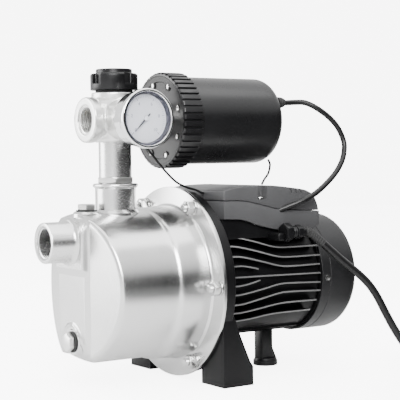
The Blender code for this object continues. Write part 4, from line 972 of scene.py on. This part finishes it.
def makeSpring():
    c = spring
    low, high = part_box("check_valve_spring")
    count = int(c["turns"] * c["steps"])
    climb = high.z - low.z - 2 * c["wire"]
    path = []
    for i in range(count + 1):
        turn = 2 * pi * c["turns"] * i / count
        path.append(Vector((pipeLine.x + c["radius"] * cos(turn), pipeLine.y + c["radius"] * sin(turn),
                            low.z + c["wire"] + climb * i / count)))
    coil = cordPiece("valveSpring", path, c["wire"], 2)
    selectOnly(coil)
    bpy.ops.object.convert(target="MESH")
    handOver(settle(coil), "poppet", "bright_steel", brightSteel, "check_valve_spring")
    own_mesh(coil)
    print("valve spring:", round(high.z - low.z, 4), "long")


makeSpring()


# the pressure gauge: case, bright bezel, dark inner ring, marked dial and hub
gauge = {"radius": 0.0296, "face": 0.0671, "rear": 0.0411, "dial": 0.0606, "zero": 225, "sweep": 270}


def makeGauge():
    g = gauge
    case = turned("gaugeCase", [(0, g["rear"])] + arc(0.0235, g["rear"] + 0.0035, 0.0035, -90, 0, 5)
                  + [(0.0272, g["rear"] + 0.0045), (0.0274, g["face"] - 0.0085), (0.0284, g["face"] - 0.0082),
                     (0.0292, g["face"] - 0.0078), (g["radius"], g["face"] - 0.0068), (g["radius"], g["face"] - 0.0018)]
                  + arc(g["radius"] - 0.0016, g["face"] - 0.0016, 0.0016, 10, 90, 5)
                  + [(0.0270, g["face"] - 0.0001), (0.0264, g["face"] - 0.0008), (0.0262, g["face"] - 0.0014),
                     (0.0262, g["dial"] - 0.0009), (0, g["dial"] - 0.0009)], "X", gaugeLine, 128)
    inner = turned("gaugeInnerRing", [(0.0261, g["dial"] + 0.0001), (0.0261, g["face"] - 0.0016),
                                      (0.0250, g["face"] - 0.0016),
                                      (0.0238, g["dial"] + 0.0006), (0.0238, g["dial"] + 0.0001)], "X", gaugeLine, 128)
    stem = hexed("gaugeStem", 0.019, 0.0299, g["rear"] + 0.0005, "X", gaugeLine, 6, 0.0008)
    hub = turned("needleHub", [(0, g["dial"] + 0.0010), (0.0026, g["dial"] + 0.0010), (0.0026, g["dial"] + 0.0022)]
                 + arc(0.0020, g["dial"] + 0.0022, 0.0006, 0, 90, 3) + [(0, g["dial"] + 0.0028)], "X", gaugeLine, 32)
    return case, inner, softened(stem, 0.0004, 2, 25), hub


def onDial(radius, degrees, height):
    # a place on the dial: degrees run anticlockwise from the right as the dial is read
    angle = radians(degrees)
    return gaugeLine + Vector((gauge["dial"] + height, radius * cos(angle), radius * sin(angle)))


def makeDialPrint():
    pieces = []
    for index in range(51):
        degrees = gauge["zero"] - gauge["sweep"] * index / 50
        long = index % 10 == 0
        inner, half = (0.0192 if long else 0.0205), (0.00026 if long else 0.00012)
        tick = sheared("dialTick", [(inner, -half), (0.0222, -half), (0.0222, half), (inner, half)], "X", 0, 0.00012)
        tick.data.transform(Matrix.Translation(gaugeLine + Vector((gauge["dial"] + 0.00002, 0, 0)))
                            @ Matrix.Rotation(radians(degrees), 4, "X"))
        pieces.append(tick)
    for index in range(6):
        place = onDial(0.0158, gauge["zero"] - gauge["sweep"] * index / 5, 0.00008)
        selectOnly()
        bpy.ops.object.text_add()
        text = bpy.context.object
        text.data.body, text.data.size = str(index * 2), 0.0046
        text.data.align_x, text.data.align_y, text.data.extrude = "CENTER", "CENTER", 0.00005
        bpy.ops.object.convert(target="MESH")
        number = bpy.context.object
        facing = Matrix.Rotation(pi / 2, 4, "Z") @ Matrix.Rotation(pi / 2, 4, "X")
        number.data.transform(Matrix.Translation(place) @ facing)
        pieces.append(number)
    return joined("dialPrint", *pieces)


gaugeCase, gaugeInnerRing, gaugeStem, needleHub = makeGauge()
dialMarks = makeDialPrint()
handOver(gaugeCase, "pump", "bright_steel", brightSteel, "gauge_case", angle=40)
handOver(gaugeInnerRing, "pump", "needle_black", needleBlack)
handOver(gaugeStem, "pump", "bright_steel", castNickel)
handOver(needleHub, "needle", "dial_white", dialWhite)
handOver(dialMarks, "pump", "needle_black", dialPrint)
print("cap and gauge made")


# the pressure controller: a ribbed ring, a screwed front plate and a smooth round can
controller = {"radius": 0.046, "ring": 0.0502, "root": 0.0484, "ringInner": 0.0466, "front": -0.012,
              "ringLength": 0.024,
              "rear": 0.123, "shoulder": 0.014, "ribs": 44, "ribShare": 0.70, "plate": 0.004, "screws": 8}


def makeController():
    c = controller
    outline = []
    for rib in range(c["ribs"]):
        for share, radius in ((0, c["root"]), (0.06, c["ring"]), (c["ribShare"] - 0.06, c["ring"]),
                              (c["ribShare"], c["root"])):
            turn = 2 * pi * (rib + share) / c["ribs"]
            outline.append((radius * cos(turn), controllerLine.z + radius * sin(turn)))
    low, high = c["front"] + 0.0003, c["front"] + c["ringLength"]
    ring = sheared("controllerRing", outline, "Y", flangeY + low, flangeY + high)
    rounding = turned("ringRounding", [(0, low), (c["root"] - 0.0004, low)]
                      + arc(c["ring"] - 0.0016, low + 0.0024, 0.0018, -60, 0, 4)
                      + arc(c["ring"] - 0.0008, high - 0.0010, 0.0010, 0, 80, 4) + [(0, high)], "Y", controllerLine, 88)
    cut(ring, rounding, "INTERSECT")
    cut(ring, bored("ringBore", c["ringInner"], -0.05, 0.05, "Y", controllerLine))
    back, f = c["rear"], c["shoulder"]
    can = turned("controllerCan", [(c["radius"] - 0.003, c["front"] + c["plate"] + 0.0003),
                                   (c["radius"], c["front"] + c["plate"] + 0.0003)]
                 + [(c["radius"], -0.006 + (back - f + 0.006) * i / 10) for i in range(1, 10)]
                 + arc(c["radius"] - f, back - f, f, 0, 86, 12) + [(c["radius"] - f - 0.004, back), (0.0005, back),
                 (0.0005, back - 0.003), (c["radius"] - f, back - 0.003), (c["radius"] - 0.003, back - f)],
                 "Y", controllerLine, 128)
    plate = turned("controllerPlate", [(0.0196, c["front"] + 0.0010), (0.0215, c["front"] + 0.0010),
                                       (0.0222, c["front"] + 0.0002),
                                       (0.0246, c["front"] + 0.0002), (0.0252, c["front"] + 0.0016),
                                       (0.0398, c["front"] + 0.0016),
                                       (0.0406, c["front"] + 0.0004), (0.0461, c["front"] + 0.0004),
                                       (0.0461, c["front"] + c["plate"]),
                                       (0.0196, c["front"] + c["plate"])], "Y", controllerLine, 96)
    bosses, heads = [], []
    for index in range(c["screws"]):
        turn = radians(360 * (index + 0.4) / c["screws"])
        centre = controllerLine + Vector((0.0385 * cos(turn), 0, 0.0385 * sin(turn)))
        bosses.append(turned("coverBoss", [(0, c["front"] + 0.0020), (0.0048, c["front"] + 0.0020),
                                           (0.0044, c["front"] + 0.0003),
                                           (0.0030, c["front"] + 0.0001), (0.0029, c["front"] + 0.0009),
                                           (0, c["front"] + 0.0009)],
                             "Y", centre, 20))
        head = turned("coverScrew", [(0, c["front"] + 0.0012), (0.0026, c["front"] + 0.0012),
                                     (0.0024, c["front"] + 0.0003),
                                     (0.0014, c["front"] + 0.0001), (0, c["front"] + 0.0001)], "Y", centre, 20)
        slotBox = sheared("screwSlot", [(centre.x - 0.003, centre.z - 0.0003), (centre.x + 0.003, centre.z - 0.0003),
                                        (centre.x + 0.003, centre.z + 0.0003), (centre.x - 0.003, centre.z + 0.0003)],
                          "Y",
                          flangeY + c["front"] - 0.001, flangeY + c["front"] + 0.0007)
        heads.append(cut(head, slotBox))
    return ring, can, joined("controllerPlate", plate, *bosses), joined("coverScrews", *heads)


controllerRing, controllerCan, controllerPlate, coverScrews = makeController()
handOver(controllerRing, "pump", "black_plastic", satinPlastic, "controller_ring")
handOver(controllerCan, "pump", "black_plastic", satinPlastic, "controller_body")
handOver(controllerPlate, "pump", "black_plastic", blackPlastic, "controller_cover")
handOver(coverScrews, "pump", "zinc", zincPlate)


def makeCableBoss():
    # the rubber boot where the controller's cable leaves the can
    low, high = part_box("controller_gland")
    line = Vector(((low.x + high.x) / 2, flangeY, (low.z + high.z) / 2))
    start, end = low.y - flangeY, high.y - flangeY
    profile = [(0, start), (0.0061, start), (0.0061, start + 0.0024), (0.0054, start + 0.0030),
               (0.0054, start + 0.0036),
               (0.0060, start + 0.0042), (0.0058, start + 0.0056), (0.0050, start + 0.0062), (0.0050, start + 0.0068),
               (0.0053, start + 0.0074), (0.0046, end - 0.0006), (0.0042, end), (0, end)]
    return turned("cableBoss", profile, "Y", line, 40)


cableBoss = makeCableBoss()
handOver(cableBoss, "pump", "rubber", softRubber, "controller_gland")
print("controller made")


# the motor: a round finned body, with the plinth of the terminal box and the arm that holds the gland
motor = {
    "front": 0.030, "rear": 0.153, "radius": 0.060, "bore": 0.0523, "finReach": 0.066, "finRing": 0.0705,
    "finThickness": 0.0016,
    # each fin's line along the side, as (station, height) in millimetres
    "fins": [
        ((31, 150), (40, 149.5), (66, 143.6), (85, 138), (96.5, 135.7), (110, 135.2), (150, 135)),
        ((31, 139.5), (45, 138.5), (70, 132.5), (90, 127), (105, 125.2), (150, 125)),
        ((33, 128.7), (45, 128.5), (73, 122), (95, 116.5), (110, 115.2), (150, 115.3)),
        ((33, 118.5), (45, 119), (60, 116.5), (68, 114.5)),
        ((36, 107.5), (95, 106.5), (151, 105.5)),
        ((33, 98), (48, 98.6), (62, 101), (70, 103)),
        ((33, 88.8), (48, 89.5), (75, 93.5), (96, 97.1), (120, 96.8), (151, 95.5)),
        ((33, 79), (45, 79), (70, 83), (95, 87.5), (110, 88), (151, 86.5)),
        ((33, 70), (45, 70), (64, 72.2), (90, 76), (105, 77), (145, 76.7)),
        ((36, 60.5), (60, 62), (90, 65.5), (140, 66)),
    ],
}


def ribbon(points, half, spacing):
    # a closed outline of even thickness along a smooth line of (station, height)
    line = smoothRoute([(y, z, 0) for y, z in points], spacing)
    upper, lower = [], []
    for i, place in enumerate(line):
        step = (line[min(i + 1, len(line) - 1)] - line[max(i - 1, 0)]).normalized()
        side = Vector((-step.y, step.x, 0)) * half
        upper.append(((place + side).x, (place + side).y))
        lower.append(((place - side).x, (place - side).y))
    return upper + lower[::-1]


def makeMotor():
    m = motor
    body = turned("motorBody", [(m["bore"], m["front"]), (m["radius"] - 0.0006, m["front"]),
                                (m["radius"], m["front"] + 0.0006),
                                (m["radius"], m["rear"] - 0.0006), (m["radius"] - 0.0006, m["rear"]),
                                (m["bore"], m["rear"])],
                  "Y", shaftLine, 128)
    parts = [body]
    for index, line in enumerate(m["fins"]):
        points = [(y / 1000 + flangeY, z / 1000) for y, z in line]
        highest = max(abs(z - shaftLine.z) for _, z in points)
        start = sqrt(max(m["radius"] ** 2 - highest ** 2, 0.0004)) - 0.003
        outline = ribbon(points, m["finThickness"] / 2, 0.005)
        fin = sheared("motorFin%d" % index, outline, "X", start, m["finReach"])
        cut(fin, bored("finTurning", m["finRing"], 0.02, 0.16, "Y", shaftLine, 96), "INTERSECT")
        fin = softened(fin, 0.00035, 2, 35)
        parts += [fin, copied(fin, "motorFin%dFar" % index, Matrix.Scale(-1, 4, (1, 0, 0)))]
    for fin in parts[1:]:
        settle(fin)
    # close ribs under the belly, where no fin stands out
    for turn in range(246, 295, 6):
        angle = radians(turn)
        rib = sheared("bellyRib", [(m["radius"] - 0.001, -0.0009), (m["radius"] + 0.0025, -0.0007),
                                   (m["radius"] + 0.0025, 0.0007), (m["radius"] - 0.001, 0.0009)], "Y", 0.034, 0.149)
        rib.data.transform(Matrix.Translation(shaftLine) @ Matrix.Rotation(-angle, 4, "Y"))
        parts.append(rib)
    return joined("motorBody", *parts)


boxLines = {
    "low": ((0.030, 0.1677), (0.052, 0.1665), (0.062, 0.1640), (0.073, 0.1602), (0.088, 0.1565), (0.101, 0.1540),
            (0.150, 0.1536), (0.1555, 0.1580)),
    "seam": ((0.156, 0.1723), (0.140, 0.1728), (0.102, 0.1752), (0.088, 0.1782), (0.075, 0.1812), (0.064, 0.1837),
             (0.052, 0.1855), (0.030, 0.1860)),
    "crown": ((0.030, 0.1972), (0.046, 0.2002), (0.070, 0.2014), (0.092, 0.2012), (0.117, 0.1985), (0.139, 0.1950),
              (0.149, 0.1890), (0.154, 0.1800)),
    "far": -0.052, "near": 0.058, "notchFront": 0.0735, "notchRear": 0.0855, "notchFloor": 0.1868, "screw": 0.053,
    "grooves": (0.1170, 0.1235, 0.1300),
}


def flatLine(points, lift=0.0):
    return [(p.x + flangeY, p.y + lift) for p in smoothRoute([(y, z, 0) for y, z in points], 0.006)]


def makePlinth():
    b = boxLines
    low = [(y, z - 0.0003) for y, z in flatLine(b["low"][:-1])]
    plinth = sheared("motorPlinth", low + [(0.150 + flangeY, 0.146), (0.032 + flangeY, 0.146)], "X", b["far"] + 0.004,
                     b["near"] - 0.004)
    cut(plinth, bored("plinthBore", motor["radius"] - 0.001, 0.0, 0.2, "Y", shaftLine, 96))
    x, z = mains["glandX"], mains["glandZ"]
    outline = [(0.0890 + flangeY, z - 0.0085), (0.0977 + flangeY, z - 0.0085), (0.0977 + flangeY, z - 0.0002),
               (0.0890 + flangeY, z - 0.0002)]
    arm = softened(sheared("glandArm", outline, "X", 0.040, x + 0.0045), 0.0020, 3, 30)
    return joined("motorPlinth", softened(plinth, 0.0006, 2, 30), arm)


def makeTerminalBox():
    b = boxLines
    seam = flatLine(b["seam"])
    base = sheared("terminalBoxBase", flatLine(b["low"]) + seam, "X", b["far"], b["near"])
    cut(base, bored("motorSaddle", 0.0662, 0.0, 0.2, "Y", shaftLine, 96))
    cover = sheared("terminalBoxCover", flatLine(b["crown"]) + [(y, z + 0.0005) for y, z in seam], "X", b["far"],
                    b["near"])
    base, cover = softened(base, 0.0007, 2, 40), softened(cover, 0.0014, 3, 50)
    x = b["screw"]
    notch = sheared("screwNotch", [(x - 0.0055, b["notchFront"] + flangeY), (0.07, b["notchFront"] + flangeY),
                                   (0.07, b["notchRear"] + flangeY), (x - 0.0055, b["notchRear"] + flangeY)], "Z",
                    b["notchFloor"], 0.25)
    cut(cover, softened(notch, 0.0010, 3, 30))
    for station in b["grooves"]:
        groove = sheared("coverGroove", [(station + flangeY, 0.1925), (station + 0.0022 + flangeY, 0.1925),
                                         (station - 0.0038 + flangeY, 0.2100), (station - 0.0060 + flangeY, 0.2100)],
                         "X",
                         b["near"] - 0.0012, b["near"] + 0.001)
        cut(cover, groove)
    seat = Vector((x, (b["notchFront"] + b["notchRear"]) / 2 + flangeY, 0))
    low = b["notchFloor"] + 0.0003
    screw = turned("boxScrew", [(0, low), (0.0042, low), (0.0042, low + 0.0008)]
                   + arc(0.0028, low + 0.0010, 0.0014, 0, 80, 4)
                   + [(0, low + 0.0025)], "Z", seat, 40)
    for u, v in ((0.004, 0.00045), (0.00045, 0.004)):
        cut(screw, sheared("screwCross", [(seat.x - u, seat.y - v), (seat.x + u, seat.y - v), (seat.x + u, seat.y + v),
                                          (seat.x - u, seat.y + v)], "Z", low + 0.0012, low + 0.004))
    return base, cover, screw


motorBody, motorPlinth = makeMotor(), makePlinth()
terminalBase, terminalCover, boxScrew = makeTerminalBox()
handOver(motorBody, "pump", "black_paint", blackPaint, "motor_housing")


def paintCrestHighlights(piece):
    # the fins' outer edges get a paler grey, a painted highlight where the edges catch the light
    slack = 0.0004
    piece.data.materials.append(crestHighlightPaint)
    for face in piece.data.polygons:
        place = face.center - shaftLine
        across = Vector((place.x, place.z)).length
        crest = abs(place.x) > motor["finReach"] - slack or across > motor["finRing"] - slack
        face.material_index = 1 if crest else 0


# the fins' outer edges get their painted highlight
paintCrestHighlights(motorBody)
handOver(motorPlinth, "pump", "black_paint", blackPaint)
handOver(terminalBase, "pump", "grey_plastic", greyPlastic, "terminal_box_base")
handOver(terminalCover, "pump", "grey_plastic", greyPlastic, "terminal_box_cover")
handOver(boxScrew, "pump", "zinc", zincPlate, "terminal_box_screw")
print("motor and terminal box made")


# the bracket: a round plate with a neck and two cast legs
bracket = {"radius": 0.097, "front": 0.0043, "rear": 0.0168, "plate": 0.0839, "neck": 0.058,
           "legInner": 0.0504, "legOuter": 0.0908}
legLine = ((0.005, 0.0), (0.0412, 0.0), (0.0412, 0.019), (0.0377, 0.024), (0.025, 0.053), (0.0165, 0.076),
           (0.0135, 0.094),
           (0.005, 0.094))


def makeBracket():
    b = bracket
    r, low, high = b["radius"], b["front"], b["rear"]
    plate = turned("bracketPlate", [(b["plate"], low), (r - 0.0010, low), (r, low + 0.0010), (r, high - 0.0012),
                                    (r - 0.0012, high),
                                    (b["neck"] + 0.004, high), (b["neck"] + 0.0012, high + 0.0012),
                                    (b["neck"], high + 0.004),
                                    (b["neck"], 0.0297), (b["neck"] - 0.005, 0.0297), (b["neck"] - 0.005, high - 0.003),
                                    (b["plate"], high - 0.003)], "Y", shaftLine, 160)
    hub = turned("bracketHub", [(0.0095, 0.0108), (b["plate"] + 0.001, 0.0108), (b["plate"] + 0.001, high - 0.002),
                                (0.0225, high - 0.002),
                                (0.0225, 0.0297), (0.0178, 0.0297), (0.0178, high), (0.0095, high)], "Y", shaftLine, 96)
    pieces = [plate, hub]
    outline = [(y + flangeY, z) for y, z in legLine]
    hollow = [(y + flangeY, z) for y, z in ((0.011, -0.01), (0.0372, -0.01), (0.0372, 0.017), (0.0225, 0.050),
                                            (0.017, 0.060),
                                            (0.011, 0.060))]
    for side in (-1, 1):
        inner, outer = sorted((side * b["legInner"], side * b["legOuter"]))
        leg = sheared("bracketLeg%d" % (side + 2), outline, "X", inner, outer)
        cut(leg, sheared("legHollow", hollow, "X", inner + 0.005, outer - 0.005))
        clear = turned("legClearance", [(0, 0.0), (b["plate"], 0.0), (b["plate"], 0.012), (0, 0.012)], "Y", shaftLine,
                       96)
        cut(leg, clear)
        pieces.append(softened(leg, 0.0012, 3, 30))
    return joined("motorBracket", *pieces)


motorBracket = makeBracket()
handOver(motorBracket, "pump", "black_paint", blackPaint, "motor_bracket")

# the fan cover, with its rounded rear edge and eight air slots, and the shield before it
fanCover = {"radius": 0.065, "front": 0.155, "rear": 0.207, "corner": 0.012, "wall": 0.0015, "slots": 8}


def makeFanCover():
    c = fanCover
    r, f, w = c["radius"], c["corner"], c["wall"]
    outside = [(r - 0.0003, c["front"]), (r, c["front"] + 0.0003), (r, c["front"] + 0.0100),
               (r - 0.0004, c["front"] + 0.0104),
               (r - 0.0004, c["front"] + 0.0116), (r, c["front"] + 0.0120), (r, c["rear"] - f)]
    outside += arc(r - f, c["rear"] - f, f, 8, 84, 9) + [(r - f - 0.004, c["rear"] - 0.0001),
                                                         (0.046, c["rear"] - 0.0001),
                (0.0455, c["rear"] - 0.0008), (0.0440, c["rear"] - 0.0008), (0.0435, c["rear"] - 0.0001),
                (0.0150, c["rear"] - 0.0001), (0.0145, c["rear"] - 0.0010), (0.0004, c["rear"] - 0.0010)]
    inside = [(0.0004, c["rear"] - 0.0030)] + [(p, a) for p, a in arc(r - f, c["rear"] - f, f - w, 84, 4, 6)]
    shell = turned("fanCoverShell", outside + inside + [(r - w, c["front"])], "Y", shaftLine, 128)
    slots = []
    for index in range(c["slots"] * 2):
        inner, outer = (0.0185, 0.0415) if index % 2 else (0.0235, 0.0415)
        slot = sheared("airSlot", [(inner, -0.0022), (outer, -0.0022), (outer, 0.0022), (inner, 0.0022)], "Y", 0.16,
                       0.19)
        slot = softened(slot, 0.0021, 4, 30)
        turnSlot = Matrix.Rotation(pi * index / c["slots"], 4, "Y")
        slot.data.transform(Matrix.Translation((0, 0, shaftLine.z)) @ turnSlot)
        slots.append(slot)
    return cut(shell, joined("airSlots", *slots))


def makeFoot():
    station = 0.1245
    pad = turned("footPad", [(0, 0), (0.0130, 0), (0.0135, 0.0005), (0.0135, 0.0052), (0.0128, 0.0062),
                             (0.0118, 0.0080),
                             (0, 0.0080)], "Z", Vector((0, station + flangeY, 0)), 64)
    top = 0.0408
    outline = [(station - 0.0095, 0.005), (station + 0.0115, 0.005), (station + 0.005, 0.020),
               (station + 0.005, top - 0.0006),
               (station - 0.0095, top - 0.0006)]
    post = softened(sheared("footPost", [(y + flangeY, z) for y, z in outline], "X", -0.0075, 0.0075), 0.0009, 3, 30)
    return joined("rearFoot", pad, post)


fanCoverShell, rearFoot = makeFanCover(), makeFoot()
shieldRing = turned("rearShieldRing", [(0.0180, 0.1533), (0.0629, 0.1533), (0.0629, 0.1665), (0.0625, 0.1672),
                                       (0.0600, 0.1672),
                                       (0.0590, 0.1580), (0.0180, 0.1580)], "Y", shaftLine, 128)
handOver(fanCoverShell, "pump", "black_paint", coverPaint, "fan_cover")
handOver(shieldRing, "pump", "black_paint", blackPaint, "rear_shield")
handOver(rearFoot, "pump", "black_plastic", blackPlastic, "rear_foot")


# the gland: a hexagon on the arm, a threaded waist and a domed nut
def makeGland():
    line = Vector((mains["glandX"], flangeY, mains["glandZ"]))
    base = softened(hexed("glandBase", 0.0174, 0.098, 0.107, "Y", line, 6, 0.0007), 0.0003, 2, 25)
    waist = turned("glandWaist", [(0, 0.1068)] + [p for i in range(3) for p in ((0.0060, 0.1070 + i * 0.0024),
                                                                                (0.0066, 0.1082 + i * 0.0024))]
                   + [(0.0060, 0.1138), (0, 0.1138)], "Y", line, 40)
    nut = softened(hexed("glandNutHex", 0.0134, 0.1143, 0.1215, "Y", line, 6, 0.0006), 0.0003, 2, 25)
    dome = turned("glandDome", [(0.0047, 0.1210), (0.0064, 0.1212), (0.0063, 0.1228), (0.0058, 0.1248),
                                (0.0053, 0.1258), (0.0047, 0.1262)],
                  "Y", line, 48)
    return joined("glandBody", base, waist), joined("glandNut", nut, dome)


glandBody, glandNut = makeGland()
handOver(glandBody, "pump", "black_plastic", blackPlastic, "cable_gland")
handOver(glandNut, "pump", "black_plastic", blackPlastic, "gland_nut")
print("bracket, fan cover, foot and gland made")


# the floor, the soft lights and the pale surroundings; a dark stretch lies behind the pump's near side, which gives the
# steel its dark band
studio = {"floorSize": 6.0, "key": 200, "fill": 110, "top": 60, "glow": 6.2, "sky": 2.1, "seen": 7.5,
          "darkWay": (0.78, 0.62, 0.0)}


def wayShare(tree, place, low, high):
    # 0 to 1 as a point moves out along the dark way
    along = node(tree, "ShaderNodeVectorMath", {0: place}, operation="DOT_PRODUCT")
    along.inputs[1].default_value = studio["darkWay"]
    return spread(tree, along.outputs["Value"], low, high, 0, 1)


def makeStudio():
    selectOnly()
    bpy.ops.mesh.primitive_grid_add(x_subdivisions=20, y_subdivisions=20, size=studio["floorSize"],
                                    location=(0, 0, -0.0002))
    floor = bpy.context.object
    floor.name = "paleFloor"
    material, tree, shader, tint, press = newFinish("floorPaper", (0.72, 0.72, 0.72), (0.76, 0.76, 0.76), 0.0, 0.02,
                                                    0.0002)
    effect = tree.nodes.new("ShaderNodeGroup")
    effect.node_tree = grainGroup
    effect.inputs["Smooth"].default_value, effect.inputs["Rough"].default_value = 0.7, 0.8
    shade = node(tree, "ShaderNodeMix", {"Factor": wayShare(tree, node(tree, "ShaderNodeTexCoord").outputs["Object"],
                                                            0.19, 0.42),
                                         "A": tint.outputs["Result"]}, data_type="RGBA")
    shade.inputs["B"].default_value = (0.03, 0.03, 0.03, 1)
    tree.links.new(shade.outputs["Result"], shader.inputs["Base Color"])
    # to the eye the sheet glows as white as the room behind it
    ray = tree.nodes.new("ShaderNodeLightPath")
    tree.links.new(ray.outputs["Is Camera Ray"], shader.inputs["Emission Color"])
    shader.inputs["Emission Strength"].default_value = studio["glow"]
    floor.data.materials.append(wired(material, tree, shader, tint, press, effect))
    for name, place, size, power, aim in (
            ("keyLight", (2.1, -1.5, 1.7), 1.6, studio["key"], (0, 0, 0.15)),
            ("fillLight", (-1.6, -2.0, 0.8), 1.8, studio["fill"], (0, -0.1, 0.12)),
            ("topLight", (0.3, 0.2, 2.4), 2.4, studio["top"], (0, 0, 0))):
        bpy.ops.object.light_add(type="AREA", location=place)
        lamp = bpy.context.object
        lamp.name = name
        lamp.data.energy, lamp.data.size = power, size
        lamp.rotation_euler = (Vector(aim) - Vector(place)).to_track_quat("-Z", "Y").to_euler()


makeStudio()


def makeSurroundings():
    # white to the eye, and a soft gradient with a darker skyline to the metal
    world = bpy.data.worlds.new("paleStudio")
    scene.world = world
    world.use_nodes = True
    tree = world.node_tree
    tree.nodes.clear()
    out = tree.nodes.new("ShaderNodeOutputWorld")
    seen, mirrored = tree.nodes.new("ShaderNodeBackground"), tree.nodes.new("ShaderNodeBackground")
    mix, ray = tree.nodes.new("ShaderNodeMixShader"), tree.nodes.new("ShaderNodeLightPath")
    seen.inputs["Color"].default_value, seen.inputs["Strength"].default_value = (1, 1, 1, 1), studio["seen"]
    place = tree.nodes.new("ShaderNodeTexCoord")
    split = node(tree, "ShaderNodeSeparateXYZ", {0: place.outputs["Generated"]})
    ramp = node(tree, "ShaderNodeValToRGB", {0: spread(tree, split.outputs[2], -1, 1, 0, 1)})
    stops = ramp.color_ramp.elements
    stops[0].position, stops[0].color = 0.0, (0.75, 0.75, 0.75, 1)
    stops[1].position, stops[1].color = 1.0, (1.0, 1.0, 1.0, 1)
    for position, level in ((0.45, 0.05), (0.50, 0.02), (0.62, 0.04), (0.68, 0.60), (0.80, 1.00)):
        stop = stops.new(position)
        stop.color = (level, level, level, 1)
    pale = node(tree, "ShaderNodeMix", {"Factor": wayShare(tree, place.outputs["Generated"], 0.15, 0.6),
                                        "B": ramp.outputs[0]},
                data_type="RGBA")
    pale.inputs["A"].default_value = (0.85, 0.85, 0.85, 1)
    tree.links.new(pale.outputs["Result"], mirrored.inputs["Color"])
    mirrored.inputs["Strength"].default_value = studio["sky"]
    tree.links.new(ray.outputs["Is Camera Ray"], mix.inputs[0])
    tree.links.new(mirrored.outputs[0], mix.inputs[1])
    tree.links.new(seen.outputs[0], mix.inputs[2])
    tree.links.new(mix.outputs[0], out.inputs["Surface"])


makeSurroundings()

# every solid that keeps its own shape gets its finish
replaced = {name for name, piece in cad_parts.items() if piece.hide_render}
for name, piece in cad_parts.items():
    if name in replaced or not piece.material_slots:
        continue
    slotName = piece.material_slots[0].material.name.split(".")[0] if piece.material_slots[0].material else ""
    piece.material_slots[0].material = finishes.get(slotName, blackPlastic)
    if slotName not in finishes:
        print("no finish for", name, slotName)

print("pump finished")
